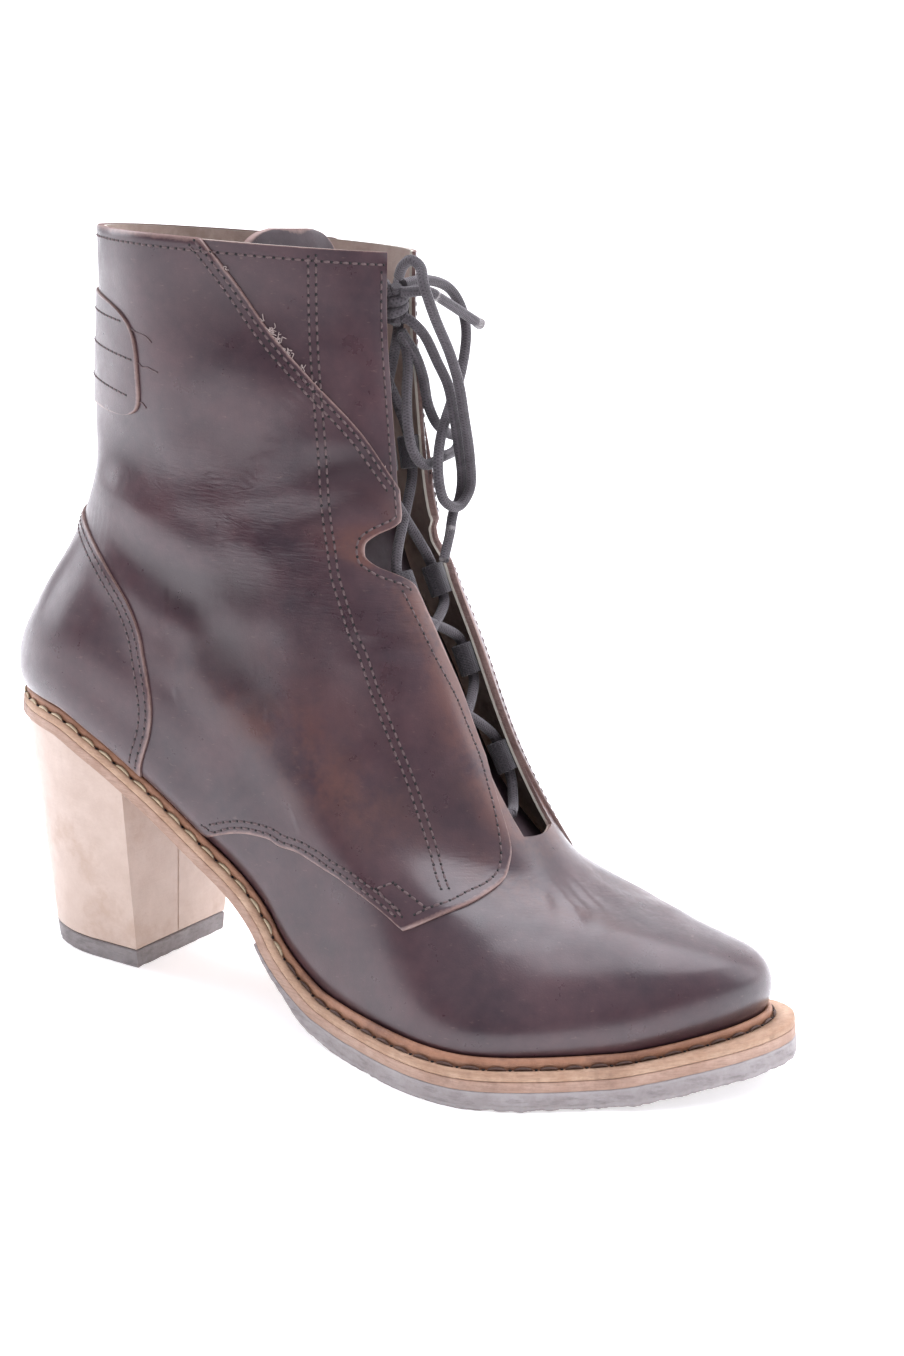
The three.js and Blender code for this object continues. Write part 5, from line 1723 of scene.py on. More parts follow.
@dataclass
class UpperSeams:
    """All the seams that show on the upper."""

    sewing: Sewing
    upper: Upper
    double_seam: Curve = (
        (.992, 131.9), (.921, 131.7), (.83, 131), (.717, 129.4), (.671, 127.5), (.627, 127.7), (.599, 129.6),
        (.564, 130.2), (.53, 131.1), (.501, 131.6), (.454, 130.5), (.405, 128.7), (.334, 124.2),
    )
    flap_foot: Curve = (
        (.684, 155.8), (.661, 157.8), (.63, 160.1), (.584, 164.6), (.548, 165.2), (.511, 162.1),
        (.467, 155.3), (.433, 149.2), (.401, 143), (.368, 136), (.344, 130), (.318, 124), (.294, 118),
        (.277, 114.5),
    )
    box: Curve = ((.2664, 112.3), (.3, 109.5), (.322, 114.5), (.294, 118))
    # Height, reach round each side and reach of the loose tail, in degrees.
    tab_rows: Line = ((.901, 60, 75), (.864, 66, 77), (.82, 61, 70))
    # Tufts of torn fibre on the diagonal edge: middle and spread in degrees, and count. Then the thin
    # scatter between: first and last degree, and count.
    tufts: Line = ((118, 1.2, 18), (122.5, .7, 8))
    scatter: Point = (96, 160, 12)
    double_gap: float = 2.1
    rim: float = 0.9875

    def build(self, thread: Material, hole: Material,
              fibre: Material) -> Piece:
        """Makes every row on both sides, the loose tails and the torn fibres of the diagonal edge.

        Args:
            thread: Finish of the thread.
            hole: Finish of the holes, a near-black painted shade.
            fibre: Finish of the torn fibres.

        Returns:
            The piece.
        """
        data = MeshData()
        for line, offset, away in self._rows():
            self.sewing.row(data, line, offset, away)
            self.sewing.row(data, mirror(line), offset, away)
        draw = np.random.default_rng(8)
        for height, reach, tail in self.tab_rows:
            degrees = np.linspace(reach + 2, tail, 5)
            line = np.stack([height - .0006 * (degrees - reach) + draw.normal(0, .0016, 5), degrees], 1)
            self.sewing.strand(data, line, 0.95, .22)
            self.sewing.strand(data, mirror(line), 0.95, .22)
        first = len(data.faces)
        last = self.sewing.drape.last
        places = [draw.normal(*tuft) for tuft in self.tufts]
        for degrees in np.concatenate([*places, draw.uniform(*self.scatter)]):
            start = np.array([last.diagonal.at(degrees) - .001, degrees])
            bend = np.cumsum(draw.normal(0, 1, (4, 2)) * [.0019, .6] + [.0004, .1], 0)
            self.sewing.strand(data, np.vstack([start, start + bend]), 0.7, .12)
        data.slots[first:] = [2] * (len(data.faces) - first)
        return data.build("boot_upper_stitches", [thread, hole, fibre], 180)

    def _rows(self) -> Iterable[tuple[Array, float | None, float]]:
        """Lines of the outer side with the offset of the leather there and how far aside they run."""
        last, face = self.sewing.drape.last, self.upper.quarter_face
        foot = last.above(self.upper.foot)
        degrees = np.array([71.5, 74, 78, 82, 88, 94, 98, 102, 105, 108, 110])
        back = np.stack([np.maximum(last.quarter(degrees), foot + .02), degrees], 1)
        yield back, face, 1.7
        yield back[1:], face, 3.6
        yield np.array(self.flap_foot), face, 0
        for a, b in zip(self.box, self.box[1:]):
            yield np.array([a, b]), face, 0
        heights = np.concatenate([np.linspace(foot + .03, .5, 20), [.515, .528, .54, .548]])
        edge = np.stack([heights, last.counter.at(heights)], 1)
        counter = np.concatenate([edge, [[.5535, 30], [.5575, 20], [.56, 10], [.561, 0]]])
        yield counter, self.upper.counter_face, 1.7
        yield counter, self.upper.counter_face, 4.0
        degrees = np.linspace(95, 163.5, 24)[::-1]
        diagonal = np.stack([last.diagonal.at(degrees), degrees], 1)
        yield diagonal, face, 1.6
        yield diagonal, face, 3.6
        yield np.array(self.double_seam), None, 0
        yield np.array(self.double_seam), None, self.double_gap
        degrees = np.linspace(0, 165, 40)
        yield np.stack([np.full(40, self.rim), degrees], 1), None, 0
        heights = np.append(np.linspace(.985, .775, 18),
                            [.76, .752, .745, .737, .727, .719, .711, .703, .697, .69])
        yield np.stack([heights, last.flap.at(heights)], 1), None, -2.2
        for height, reach, _ in self.tab_rows:
            span = np.linspace(0, reach, 30)
            yield np.stack([np.full(30, height), span], 1), self.upper.tab_face, 0


@dataclass
class WeltSeam:
    """The long stitches that hold the welt: pale on the ledge of the waist and heel, dark in front."""

    welt: Welt
    sewing: Sewing
    pale_until: float = 88.0

    def build(self, thread: Material, hole: Material) -> Piece:
        """Makes the stitches all the way round."""
        sole = self.welt.bottom
        foot = GAP + self.welt.rand_width
        fine = np.linspace(0, 2 * np.pi, 1441)

        def ledge(turn: Array, aside: float = 0.0) -> Array:
            """The stitch line on the ledge."""
            out = sole.edge(turn)
            return sole.point(turn, np.minimum(foot + .9, out - .45) + aside, sole.welt_top - .2)

        line = ledge(fine)
        run = distances(line)
        count = int(run[-1] / self.sewing.stitch.pitch)
        turn = np.interp((np.arange(count) + .5) / count * run[-1], run, fine)
        ends = np.interp(np.arange(count) / count * run[-1], run, fine)
        data = MeshData()
        for turns, holes in ((turn, False), (ends, True)):
            centre = ledge(turns)
            along = ledge(turns + .01) - ledge(turns - .01)
            normal = unit(np.cross(along, ledge(turns, .1) - centre))
            normal = normal * np.sign(normal[:, 2:])
            if holes:
                self.sewing.holes(data, centre, normal)
            else:
                tone = np.where(folded(turns) > self.pale_until, 1.0, 0.0)
                self.sewing.threads(data, centre, along, normal, tone[:, None, None, None])
        return data.build("boot_welt_stitches", [thread, hole], 180)


Colour = tuple[float, float, float]


class Nodes:
    """Adds nodes to a node tree and wires them up."""

    def __init__(self, tree: NodeTree) -> None:
        """Keeps the tree that the nodes go in."""
        self.tree = tree

    def add(self, kind: str, inputs: dict[str | int, object] | None = None,
            **settings: object) -> bpy.types.Node:
        """Adds a node.

        Args:
            kind: Its type.
            inputs: Sockets to link, or values to set, by socket name or number.
            **settings: The node's own settings.

        Returns:
            The node.
        """
        node = self.tree.nodes.new(kind)
        for name, value in settings.items():
            setattr(node, name, value)
        for name, value in (inputs or {}).items():
            self.feed(node.inputs[name], value)
        return node

    def feed(self, socket: Socket, value: object) -> None:
        """Links or sets one input."""
        if isinstance(value, Socket):
            self.tree.links.new(value, socket)
        elif isinstance(value, tuple) and socket.type == "RGBA":
            socket.default_value = (*value, 1.0)
        else:
            socket.default_value = value

    def math(self, operation: str, a: object, b: object = 0.0, clamp: bool = False) -> Socket:
        """Result of one sum."""
        return self.add("ShaderNodeMath", {0: a, 1: b}, operation=operation, use_clamp=clamp).outputs[0]

    def times(self, a: object, b: object, clamp: bool = False) -> Socket:
        """Product of two values."""
        return self.math("MULTIPLY", a, b, clamp)

    def plus(self, a: object, b: object, clamp: bool = False) -> Socket:
        """Sum of two values."""
        return self.math("ADD", a, b, clamp)

    def scaled(self, vector: object, factors: Point) -> Socket:
        """A vector with each part multiplied."""
        return self.add("ShaderNodeVectorMath", {0: vector, 1: factors}, operation="MULTIPLY").outputs[0]

    def mix(self, factor: object, a: object, b: object) -> Socket:
        """Mix of two colours."""
        node = self.add("ShaderNodeMix", data_type="RGBA")
        for number, value in ((0, factor), (6, a), (7, b)):
            self.feed(node.inputs[number], value)
        return node.outputs[2]

    def span(self, value: object, low: float, high: float, to_low: object = 0.0,
             to_high: object = 1.0) -> Socket:
        """Moves a range of values to another range, clamped."""
        return self.add("ShaderNodeMapRange", {0: value, 1: low, 2: high, 3: to_low, 4: to_high}).outputs[0]

    def noise(self, vector: object, size: object, detail: float = 3.0, rough: float = 0.5) -> Socket:
        """Noise with lumps of about this size, from 0 to 1."""
        scale = self.math("DIVIDE", 1.0, size)
        inputs = {"Vector": vector, "Scale": scale, "Detail": detail, "Roughness": rough}
        return self.add("ShaderNodeTexNoise", inputs).outputs[0]


class Effects:
    """Shader groups that several finishes share. All positions are in millimetres."""

    def __init__(self) -> None:
        """Builds each group once."""
        self.grain = self._grain()
        self.mottle = self._mottle()
        self.wear = self._wear()
        self.weave = self._weave()

    @staticmethod
    def _start(name: str, inputs: Sequence[str], outputs: Sequence[str]) -> tuple[Nodes, dict, dict]:
        """A group with named sockets, all plain numbers but Position.

        Args:
            name: Name of the group.
            inputs: Names of its inputs.
            outputs: Names of its outputs.

        Returns:
            Its nodes, its input sockets and its output sockets.
        """
        tree = bpy.data.node_groups.new(name, "ShaderNodeTree")
        for way, labels in (("INPUT", inputs), ("OUTPUT", outputs)):
            for label in labels:
                kind = "NodeSocketVector" if label == "Position" else "NodeSocketFloat"
                tree.interface.new_socket(label, in_out=way, socket_type=kind)
        nodes = Nodes(tree)
        start, end = nodes.add("NodeGroupInput"), nodes.add("NodeGroupOutput")
        return nodes, {k: start.outputs[k] for k in inputs}, {k: end.inputs[k] for k in outputs}

    def _grain(self) -> NodeTree:
        """Leather grain with fine wrinkles where the leather flexes."""
        nodes, given, out = self._start("leather_grain", ("Position", "Grain", "Wrinkles"), ("Height",))
        pores = nodes.noise(given["Position"], given["Grain"], 4.0, 0.6)
        bent = nodes.scaled(given["Position"], (.16, .16, .9))
        ripples = nodes.noise(bent, 1.3, 2.0, 0.5)
        ridged = nodes.math("ABSOLUTE", nodes.math("SUBTRACT", ripples, 0.5))
        wrinkle = nodes.times(nodes.times(ridged, given["Wrinkles"]), 7.0)
        nodes.feed(out["Height"], nodes.plus(pores, wrinkle))
        return nodes.tree

    def _mottle(self) -> NodeTree:
        """Cloudy variation on two scales."""
        nodes, given, out = self._start("mottle", ("Position", "Size", "Contrast"), ("Value",))
        wide = nodes.noise(given["Position"], given["Size"], 3.0, 0.55)
        fine = nodes.noise(given["Position"], nodes.times(given["Size"], 0.13), 4.0, 0.6)
        both = nodes.plus(nodes.times(wide, 0.72), nodes.times(fine, 0.28))
        middle = nodes.times(nodes.math("SUBTRACT", both, 0.5), given["Contrast"])
        nodes.feed(out["Value"], nodes.plus(middle, 0.5, clamp=True))
        return nodes.tree

    def _wear(self) -> NodeTree:
        """Broken rubbing of whatever is close to an edge."""
        nodes, given, out = self._start("edge_wear", ("Position", "Edge", "Amount"), ("Mask",))
        broken = nodes.noise(given["Position"], 2.2, 4.0, 0.65)
        lifted = nodes.plus(given["Edge"], nodes.times(broken, 0.9))
        mask = nodes.span(lifted, 0.85, 1.45)
        nodes.feed(out["Mask"], nodes.times(mask, given["Amount"], clamp=True))
        return nodes.tree

    def _weave(self) -> NodeTree:
        """Slanted strands crossing over and under, for braid and tape."""
        nodes, given, out = self._start("weave", ("Around", "Along", "Strands"), ("Height", "Gap"))
        around = nodes.times(given["Around"], given["Strands"])
        lean = nodes.times(given["Along"], 1.15)
        waves = []
        for operation in ("ADD", "SUBTRACT"):
            run = nodes.math(operation, around, lean)
            waves.append(nodes.math("ABSOLUTE", nodes.math("SINE", nodes.times(run, math.pi))))
        beat = nodes.math("SINE", nodes.times(given["Along"], 2.3 * math.pi))
        check = nodes.math("GREATER_THAN", beat, 0)
        first = nodes.times(waves[0], nodes.span(check, 0, 1, .75, 1.0))
        second = nodes.times(waves[1], nodes.span(check, 0, 1, 1.0, .75))
        height = nodes.math("MAXIMUM", first, second)
        nodes.feed(out["Height"], height)
        # Gap marks the low places between strands, where the cords paint shade.
        nodes.feed(out["Gap"], nodes.span(height, 0.35, 0.75, 1.0, 0.0))
        return nodes.tree


class Surface:
    """One material being built: its nodes, its shader and the effects it can call on."""

    def __init__(self, name: str, effects: Effects) -> None:
        """Starts a material with a Principled shader."""
        self.material = bpy.data.materials.new(name)
        self.material.use_nodes = True
        self.nodes = Nodes(self.material.node_tree)
        self.shader = self.material.node_tree.nodes["Principled BSDF"]
        self.effects = effects
        place = self.nodes.add("ShaderNodeTexCoord").outputs["Object"]
        self.position = self.nodes.scaled(place, (1 / MM, 1 / MM, 1 / MM))
        tone = self.nodes.add("ShaderNodeAttribute", attribute_name="tone").outputs
        parts = self.nodes.add("ShaderNodeSeparateColor", {0: tone["Color"]})
        self.tones = parts.outputs[0], parts.outputs[1], parts.outputs[2]
        self.flex = tone["Alpha"]

    def effect(self, group: NodeTree, **inputs: object) -> Socket:
        """First output of a shared effect with these inputs.

        Args:
            group: The effect.
            **inputs: Its inputs by name.

        Returns:
            The output.
        """
        node = self.nodes.add("ShaderNodeGroup", node_tree=group)
        for name, value in inputs.items():
            self.nodes.feed(node.inputs[name], value)
        return node.outputs[0]

    def mottle(self, size: float, contrast: float) -> Socket:
        """Cloudy variation at the surface."""
        return self.effect(self.effects.mottle, Position=self.position, Size=size, Contrast=contrast)

    def bump(self, height: object, depth: float, strength: float = 1.0, normal: object = None) -> Socket:
        """Normal of a surface raised by height, which counts for depth millimetres.

        Args:
            height: Height from 0 to 1.
            depth: Millimetres.
            strength: Share that counts.
            normal: Normal to start from.

        Returns:
            The normal.
        """
        inputs = {"Height": height, "Distance": depth * MM, "Strength": strength}
        if normal is not None:
            inputs["Normal"] = normal
        return self.nodes.add("ShaderNodeBump", inputs).outputs[0]

    def finish(self, **inputs: object) -> Material:
        """Sets the shader's inputs; underscores in their names stand for spaces."""
        for name, value in inputs.items():
            self.nodes.feed(self.shader.inputs[name.replace("_", " ")], value)
        return self.material


@dataclass(frozen=True)
class PolishedLeather:
    """Glossy pull-up leather: dark, clouded, warmer where it has been handled."""

    name: str = "polished_brown_leather"
    dark: Colour = (.028, .0125, .019)
    middle: Colour = (.07, .032, .038)
    warm: Colour = (.125, .05, .037)
    rubbed: Colour = (.3, .19, .165)
    # Painted shade laid into the troughs of the folds.
    fold: Colour = (.026, .012, .016)
    roughness: float = 0.34
    coat: float = 0.45
    coat_roughness: float = 0.22
    grain: float = 0.55

    def material(self, effects: Effects) -> Material:
        """Builds the material."""
        s = Surface(self.name, effects)
        warmth, edge, painted_fold_shade = s.tones
        cloud = s.mottle(26.0, 3.2)
        base = s.nodes.mix(cloud, self.dark, self.middle)
        scuff = s.nodes.noise(s.nodes.scaled(s.position, (.5, .5, 1.6)), 1.6, 5.0, .7)
        base = s.nodes.mix(s.nodes.span(scuff, .62, .8, 0.0, .35), base, self.rubbed)
        patch = s.nodes.times(warmth, s.nodes.span(s.mottle(15.0, 2.4), .25, .75), clamp=True)
        base = s.nodes.mix(patch, base, self.warm)
        # Painted shade: darker in the troughs of the folds.
        base = s.nodes.mix(s.nodes.span(painted_fold_shade, .56, .9, 0.0, .8), base, self.fold)
        worn = s.effect(effects.wear, Position=s.position, Edge=edge, Amount=.8)
        base = s.nodes.mix(worn, base, self.rubbed)
        height = s.effect(effects.grain, Position=s.position, Grain=self.grain, Wrinkles=s.flex)
        rough = s.nodes.span(s.mottle(9.0, 2.6), 0, 1, self.roughness - .1, self.roughness + .12)
        return s.finish(Base_Color=base, Roughness=rough, Coat_Weight=self.coat,
                        Coat_Roughness=self.coat_roughness, Specular_IOR_Level=.5,
                        Normal=s.bump(height, 0.045))


@dataclass(frozen=True)
class NaturalLeather:
    """Leather or cut leather edge without polish: fibres, stains, rubbed corners and painted shade in folds
    and grooves.
    """

    name: str
    dark: Colour
    light: Colour
    stain_and_shade: Colour
    roughness: float = 0.55
    grain: float = 0.5
    relief: float = 0.12
    coat: float = 0.0
    wear: float = 0.35
    layers: float = 0.0
    shine: float = 0.35
    worn: Colour | None = None

    def material(self, effects: Effects) -> Material:
        """Builds the material."""
        s = Surface(self.name, effects)
        _, edge, low = s.tones
        base = s.nodes.mix(s.mottle(7.0, 2.4), self.dark, self.light)
        base = s.nodes.mix(s.nodes.span(s.mottle(19.0, 3.4), .62, 1.0, 0.0, .6), base, self.stain_and_shade)
        # Darker by the third tone: painted shade in the folds of lining and raw edges and in the welt's
        # groove; the sole plates get darker towards their underside.
        base = s.nodes.mix(s.nodes.times(low, .35), base, self.stain_and_shade)
        worn = s.effect(effects.wear, Position=s.position, Edge=edge, Amount=self.wear)
        base = s.nodes.mix(worn, base, self.worn or self.dark)
        height = s.effect(effects.grain, Position=s.position, Grain=self.grain, Wrinkles=.25)
        if self.layers:
            fibres = s.nodes.noise(s.nodes.scaled(s.position, (.25, .25, 2.4)), 1.0, 3.0, .6)
            base = s.nodes.mix(s.nodes.span(fibres, .45, .75, 0.0, self.layers), base, self.stain_and_shade)
            height = s.nodes.plus(height, fibres)
        rough = s.nodes.span(s.mottle(5.0, 2.0), 0, 1, self.roughness - .08, self.roughness + .12)
        return s.finish(Base_Color=base, Roughness=rough, Coat_Weight=self.coat, Coat_Roughness=.3,
                        Specular_IOR_Level=self.shine, Normal=s.bump(height, self.relief))


@dataclass(frozen=True)
class SoleRubber:
    """Milky grey rubber, scuffed and dusty towards the ground."""

    name: str = "sole_rubber"
    clear: Colour = (.27, .235, .23)
    milky: Colour = (.42, .39, .39)
    dirt: Colour = (.14, .12, .118)
    roughness: float = 0.5

    def material(self, effects: Effects) -> Material:
        """Builds the material."""
        s = Surface(self.name, effects)
        _, edge, low = s.tones
        base = s.nodes.mix(s.mottle(11.0, 2.8), self.clear, self.milky)
        scuffs = s.nodes.noise(s.nodes.scaled(s.position, (.35, .35, 1.6)), 2.4, 5.0, .7)
        base = s.nodes.mix(s.nodes.span(scuffs, .5, .72, 0.0, .6), base, self.dirt)
        worn = s.effect(effects.wear, Position=s.position, Edge=edge, Amount=.7)
        base = s.nodes.mix(worn, base, self.milky)
        base = s.nodes.mix(s.nodes.times(low, .25), base, self.dirt)
        pits = s.nodes.noise(s.position, 1.1, 5.0, .65)
        rough = s.nodes.span(scuffs, .3, .7, self.roughness - .1, self.roughness + .2)
        return s.finish(Base_Color=base, Roughness=rough, Specular_IOR_Level=.4,
                        Subsurface_Weight=.12, Subsurface_Radius=(.004, .003, .0025), Subsurface_Scale=1.0,
                        Normal=s.bump(s.nodes.plus(pits, scuffs), .16))


@dataclass(frozen=True)
class WovenCord:
    """Matt braided or woven yarn."""

    name: str
    yarn: Colour
    fuzz: Colour
    strands: float = 5.0
    relief: float = 0.18
    roughness: float = 0.85

    def material(self, effects: Effects) -> Material:
        """Builds the material."""
        s = Surface(self.name, effects)
        uv = s.nodes.add("ShaderNodeUVMap", uv_map="UVMap").outputs[0]
        parts = s.nodes.add("ShaderNodeSeparateXYZ", {0: uv})
        weave = s.nodes.add("ShaderNodeGroup", node_tree=effects.weave)
        for name, value in zip(("Around", "Along", "Strands"), (*parts.outputs[:2], self.strands)):
            s.nodes.feed(weave.inputs[name], value)
        # Painted shade: a darker yarn laid into the gaps between the strands.
        dark = tuple(.35 * c for c in self.yarn)
        base = s.nodes.mix(s.mottle(3.0, 2.0), self.yarn, self.fuzz)
        base = s.nodes.mix(s.nodes.times(weave.outputs["Gap"], .75), base, dark)
        fuzz = s.nodes.noise(s.position, .35, 3.0, .6)
        height = s.nodes.plus(weave.outputs["Height"], s.nodes.times(fuzz, .3))
        return s.finish(Base_Color=base, Roughness=self.roughness, Sheen_Weight=.25, Sheen_Roughness=.5,
                        Specular_IOR_Level=.25, Normal=s.bump(height, self.relief))


@dataclass(frozen=True)
class Thread:
    """Waxed sewing thread, which can change colour along the boot."""

    name: str
    back: Colour
    front: Colour
    turns_at: Pair = (.45, .62)

    def material(self, effects: Effects) -> Material:
        """Builds the material."""
        s = Surface(self.name, effects)
        place = s.nodes.span(s.tones[0], *self.turns_at)
        base = s.nodes.mix(place, self.back, self.front)
        shade = s.nodes.mix(s.mottle(2.0, 2.5), (.55, .55, .55), (1, 1, 1))
        both = s.nodes.add("ShaderNodeMix", data_type="RGBA", blend_type="MULTIPLY")
        for number, value in ((0, 1.0), (6, base), (7, shade)):
            s.nodes.feed(both.inputs[number], value)
        twist = s.nodes.noise(s.position, .3, 2.0, .5)
        return s.finish(Base_Color=both.outputs[2], Roughness=.6, Normal=s.bump(twist, .1))


@dataclass(frozen=True)
class TipFilm:
    """Smoky film round the end of a lace."""

    name: str = "lace_tip_film"
    clear: Colour = (.16, .145, .145)
    cloudy: Colour = (.30, .28, .28)

    def material(self, effects: Effects) -> Material:
        """Builds the material."""
        s = Surface(self.name, effects)
        rings = s.nodes.noise(s.nodes.scaled(s.position, (1, 1, 3)), 1.4, 3.0, .6)
        base = s.nodes.mix(s.nodes.span(rings, .4, .7), self.clear, self.cloudy)
        rough = s.nodes.span(rings, .3, .7, .18, .4)
        return s.finish(Base_Color=base, Roughness=rough, Normal=s.bump(rings, .08))


Finish = PolishedLeather | NaturalLeather | SoleRubber | WovenCord | Thread | TipFilm


@dataclass
class Finishes:
    """Every finish of the boot."""

    effects: Effects = field(default_factory=Effects)

    def __post_init__(self) -> None:
        """Builds the materials."""

        def made(finish: Finish) -> Material:
            """The finish's material."""
            return finish.material(self.effects)

        self.leather = made(PolishedLeather())
        self.tongue = made(PolishedLeather(
            "tongue_leather", dark=(.026, .014, .018), middle=(.045, .026, .032), roughness=.62, coat=.0))
        self.raw_edge = made(NaturalLeather(
            "raw_leather_edge", (.17, .1, .088), (.36, .25, .22), (.09, .05, .045), .8, .3, .2, layers=.4))
        self.lining = made(NaturalLeather(
            "lining_leather", (.42, .31, .26), (.56, .46, .4), (.28, .2, .16), .75, .4, .08, wear=1.0,
            worn=(.47, .44, .38)))
        self.insole = made(NaturalLeather(
            "insole_leather", (.38, .29, .2), (.52, .42, .3), (.2, .14, .1), .72, .5, .1))
        self.rand = made(NaturalLeather(
            "welt_rand_leather", (.27, .125, .07), (.46, .24, .15), (.14, .065, .045), .5, .4, .12, .1))
        self.ledge = made(NaturalLeather(
            "welt_ledge_leather", (.4, .235, .15), (.6, .42, .3), (.19, .105, .07), .6, .35, .16, layers=.35))
        self.outsole = made(NaturalLeather(
            "outsole_leather", (.42, .26, .19), (.6, .42, .33), (.22, .135, .1), .55, .4, .14, .08,
            layers=.45))
        self.heel = made(NaturalLeather(
            "heel_block_leather", (.5, .375, .305), (.6, .475, .4), (.45, .31, .23), .42, .7, .06, .2,
            shine=.45))
        self.rubber = made(SoleRubber())
        self.lift = made(SoleRubber(
            "heel_lift_rubber", (.17, .15, .15), (.31, .285, .285), (.09, .075, .075)))
        self.lace = made(WovenCord("lace_braid", (.07, .06, .066), (.12, .108, .118)))
        self.webbing = made(WovenCord("woven_tape", (.035, .03, .034), (.065, .058, .064), 1.0, .2))
        self.thread = made(Thread("upper_thread", (.15, .098, .098), (.15, .098, .098)))
        self.fibre = made(Thread("torn_fibre", (.5, .4, .37), (.5, .4, .37)))
        # Near-black painted shade for the lenses at the needle holes.
        self.hole = made(Thread("needle_hole_shade", (.006, .004, .004), (.006, .004, .004)))
        self.welt_thread = made(Thread("welt_thread", (.68, .54, .36), (.10, .05, .035)))
        self.film = made(TipFilm())


@dataclass
class Studio:
    """Camera, lights and the white floor."""

    camera_at: Point = (.39505, -.5572, .24964)
    yaw: float = 27.358
    pitch: float = 13.298
    roll: float = 4.504
    focal: float = 60.84

    def place_camera(self) -> None:
        """Sets the camera that took the photograph."""
        yaw, pitch, roll = (math.radians(a) for a in (self.yaw, self.pitch, self.roll))
        ahead = Vector((-math.sin(yaw) * math.cos(pitch), math.cos(yaw) * math.cos(pitch), -math.sin(pitch)))
        right = Vector((math.cos(yaw), math.sin(yaw), 0))
        above = right.cross(ahead)
        x = right * math.cos(roll) + above * math.sin(roll)
        y = above * math.cos(roll) - right * math.sin(roll)
        lens = bpy.data.cameras.new("photo_camera")
        lens.lens = self.focal
        lens.sensor_width = 36
        lens.sensor_fit = "AUTO"
        camera = bpy.data.objects.new("photo_camera", lens)
        turned = Matrix((x, y, -ahead)).transposed().to_4x4()
        camera.matrix_world = Matrix.Translation(self.camera_at) @ turned
        bpy.context.scene.collection.objects.link(camera)
        bpy.context.scene.camera = camera

    def _panel(self, name: str, at: Point, aim: Point,
               size: Pair, power: float, colour: Colour) -> None:
        """Adds a soft light panel that faces a point.

        Args:
            name: Its name.
            at: Its place in metres.
            aim: The point.
            size: Its sides.
            power: Watts.
            colour: Its colour.
        """
        light = bpy.data.lights.new(name, "AREA")
        light.shape = "RECTANGLE"
        light.size, light.size_y = size
        light.energy = power
        light.color = colour
        lamp = bpy.data.objects.new(name, light)
        lamp.location = at
        lamp.rotation_euler = (Vector(at) - Vector(aim)).to_track_quat("Z", "Y").to_euler()
        bpy.context.scene.collection.objects.link(lamp)

    def light(self) -> None:
        """Hangs the panels and sets the room's dim surround."""
        cool = (.94, .94, 1.0)
        self._panel("overhead_panel", (.1, .35, 1.5), (.07, 0, .1), (2.2, 1.6), 42, cool)
        self._panel("left_panel", (-1.5, -.1, .75), (0, 0, .15), (.9, 1.3), 13, cool)
        self._panel("right_panel", (1.5, .9, .8), (.1, 0, .1), (1.0, 1.2), 8, cool)
        world = bpy.data.worlds.new("studio_surround")
        bpy.context.scene.world = world
        world.use_nodes = True
        nodes = Nodes(world.node_tree)
        direction = nodes.add("ShaderNodeTexCoord").outputs["Generated"]
        parts = nodes.add("ShaderNodeSeparateXYZ", {0: direction}).outputs
        low = nodes.mix(nodes.span(parts[1], -.5, .5), (.1, .095, .115), (.5, .5, .54))
        sky = nodes.mix(nodes.span(parts[2], .12, .42), low, (1.0, .98, 1.08))
        background = world.node_tree.nodes["Background"]
        nodes.feed(background.inputs["Color"], sky)
        background.inputs["Strength"].default_value = .7
        bpy.context.scene.view_settings.view_transform = "Standard"

    def floor(self) -> None:
        """Lays a pale sweep under and behind the boot."""
        reach, behind, bend, rise = 3.0, 1.2, 0.8, 2.6
        arc = np.linspace(.1, math.pi / 2, 14)
        profile = [(-reach, 0.0), (behind, 0.0)]
        profile += [(behind + bend * math.sin(a), bend * (1 - math.cos(a))) for a in arc]
        profile.append((behind + bend, rise))
        corners = [(x, y, z) for y, z in profile for x in (-reach, reach)]
        faces = [(2 * i, 2 * i + 1, 2 * i + 3, 2 * i + 2) for i in range(len(profile) - 1)]
        mesh = bpy.data.meshes.new("studio_sweep")
        mesh.from_pydata(corners, [], faces)
        mesh.shade_smooth()
        paper = bpy.data.materials.new("white_paper")
        paper.use_nodes = True
        nodes = Nodes(paper.node_tree)
        shader = paper.node_tree.nodes["Principled BSDF"]
        speckle = nodes.noise(nodes.add("ShaderNodeTexCoord").outputs["Object"], .4, 2.0)
        tint = nodes.mix(speckle, (.9, .9, .905), (.93, .93, .935))
        for name, value in (("Base Color", tint), ("Roughness", .8), ("Emission Color", tint)):
            nodes.feed(shader.inputs[name], value)
        shader.inputs["Emission Strength"].default_value = .55
        mesh.materials.append(paper)
        sweep = bpy.data.objects.new("studio_sweep", mesh)
        bpy.context.scene.collection.objects.link(sweep)


def dress(piece: Piece, slot: str, *nodes: str) -> None:
    """Hides the solids that a piece stands for.

    Args:
        piece: The piece; not used.
        slot: The record's material slot; not used.
        *nodes: The solids, where it stands for any.
    """
    if nodes:
        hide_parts(*nodes)


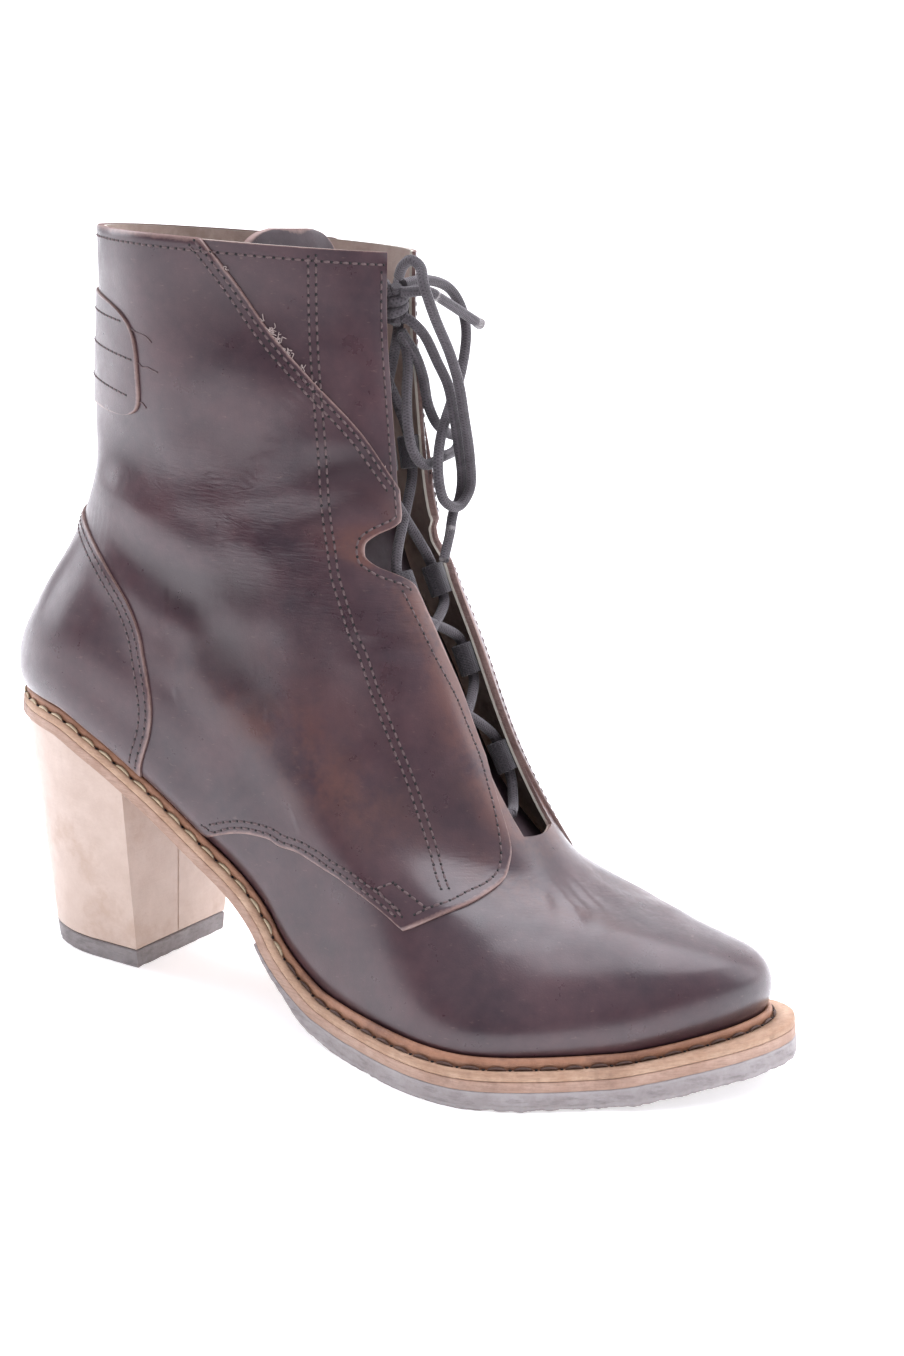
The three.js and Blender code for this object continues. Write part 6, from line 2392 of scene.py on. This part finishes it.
@dataclass
class Boot:
    """The whole boot."""

    last: Last = field(default_factory=Last)
    insole: float = 2.5
    insole_inset: float = 2.1
    # How far the sole's layers close the gaps that the solids keep between them.
    closed_up: float = 0.24
    # The rubber's thin end: where it starts, where it is full, in degrees from the back, and its thickness.
    skive: Point = (85.0, 100.0, 0.7)

    def __post_init__(self) -> None:
        """Sets up what the sub-assemblies share."""
        self.drape = Drape(self.last, Creases(self.last))
        self.bottom = Bottom(self.last)
        self.finishes = Finishes()

    def build_lace(self) -> None:
        """Lacing, knot, bow and tipped ends, and the tape loops that hold them."""
        loops = WebbingLoops(self.last)
        lace = Lace(loops)
        finish = self.finishes
        dress(loops.build(finish.webbing), "webbing",
              *[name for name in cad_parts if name.startswith("webbing_loop")])
        dress(lace.build_lacing(finish.lace), "lace_cord", "lacing")
        knot = lace.build_knot(finish.lace)
        dress(knot, "lace_cord", "lace_knot")
        large = lace.build_cord("boot_lace_loop_large", lace.large_loop, finish.lace, [knot])
        small = lace.build_cord("boot_lace_loop_small", lace.small_loop, finish.lace)
        tips = []
        for name, route, flare in (("long", lace.long_aglet, 0.0), ("short", lace.short_aglet, .25)):
            tip = lace.build_aglet(f"boot_aglet_{name}", route, finish.film, flare)
            dress(tip, "aglet_plastic", f"aglet_{name}")
            tips.append(tip)
        long = lace.build_cord("boot_lace_end_long", lace.long_end, finish.lace, tips[:1],
                               lace.long_aglet)
        short = lace.build_cord("boot_lace_end_short", lace.short_end, finish.lace, tips[1:],
                                lace.short_aglet)
        for piece, node in ((large, "lace_loop_large"), (small, "lace_loop_small"),
                            (long, "lace_end_long"), (short, "lace_end_short")):
            dress(piece, "lace_cord", node)

    def build_upper(self) -> None:
        """Upper with its seams, tongue and insole."""
        finish = self.finishes
        upper = Upper(self.drape)
        dress(upper.build(finish.leather, finish.raw_edge, finish.lining), "upper_leather", "upper")
        seams = UpperSeams(Sewing(self.drape), upper).build(finish.thread, finish.hole, finish.fibre)
        dress(seams, "upper_leather")
        dress(Tongue(self.drape).build(finish.tongue), "tongue_leather", "tongue")
        section = ((.4, 0), (0, .15), (0, .85), (.3, 1))
        insole = SolePlate(self.bottom, "boot_insole", 0, -self.insole, lambda a: self.insole + 0 * a,
                           lambda a: -self.insole_inset + 0 * a, section)
        dress(insole.build(finish.insole), "insole_leather", "insole")

    def build_bottom(self) -> None:
        """Welt, outsole, forefoot rubber, heel block and lift."""
        finish, sole, closed = self.finishes, self.bottom, self.closed_up
        welt = Welt(self.drape, sole)
        dress(welt.build(finish.rand, finish.ledge), "welt_leather", "welt")
        long = Stitch(pitch=7.0, length=5.2, radius=0.5, arch=0.45, sunk=0.05, hole=0.55)
        seam = WeltSeam(welt, Sewing(self.drape, long))
        dress(seam.build(finish.welt_thread, finish.hole), "welt_leather")
        section = ((.15, 0), (.03, .06), (0, .3), (0, .7), (.03, .94), (.15, 1))
        outsole = SolePlate(sole, "boot_outsole", 0, sole.outsole_top - closed,
                            lambda a: sole.outsole + closed + 0 * a, sole.edge, section)
        dress(outsole.build(finish.outsole), "outsole_leather", "outsole")
        start, full, thin = self.skive

        def thick(angle: Array) -> Array:
            """Thickness of the rubber, skived towards the waist."""
            return closed + thin + (sole.rubber - thin) * smoothstep(start, full, angle)

        section = ((.15, 0), (.03, .06), (0, .3), (0, .6), (.1, .85), (.5, 1))
        rubber = SolePlate(sole, "boot_forefoot_sole", start, sole.rubber_top - closed, thick, sole.edge,
                           section, ragged=.5, rows=260)
        dress(rubber.build(finish.rubber), "sole_rubber", "forefoot_sole")
        heel = Heel(sole)
        dress(heel.build_block(finish.heel), "heel_leather", "heel_block")
        dress(heel.build_lift(finish.lift), "sole_rubber", "heel_lift")


def main() -> None:
    """Builds the boot and its studio."""
    logging.basicConfig(level=logging.INFO, format="%(message)s")
    studio = Studio()
    studio.place_camera()
    boot = Boot()
    boot.build_lace()
    boot.build_upper()
    boot.build_bottom()
    studio.floor()
    studio.light()


if __name__ == "__main__":
    main()
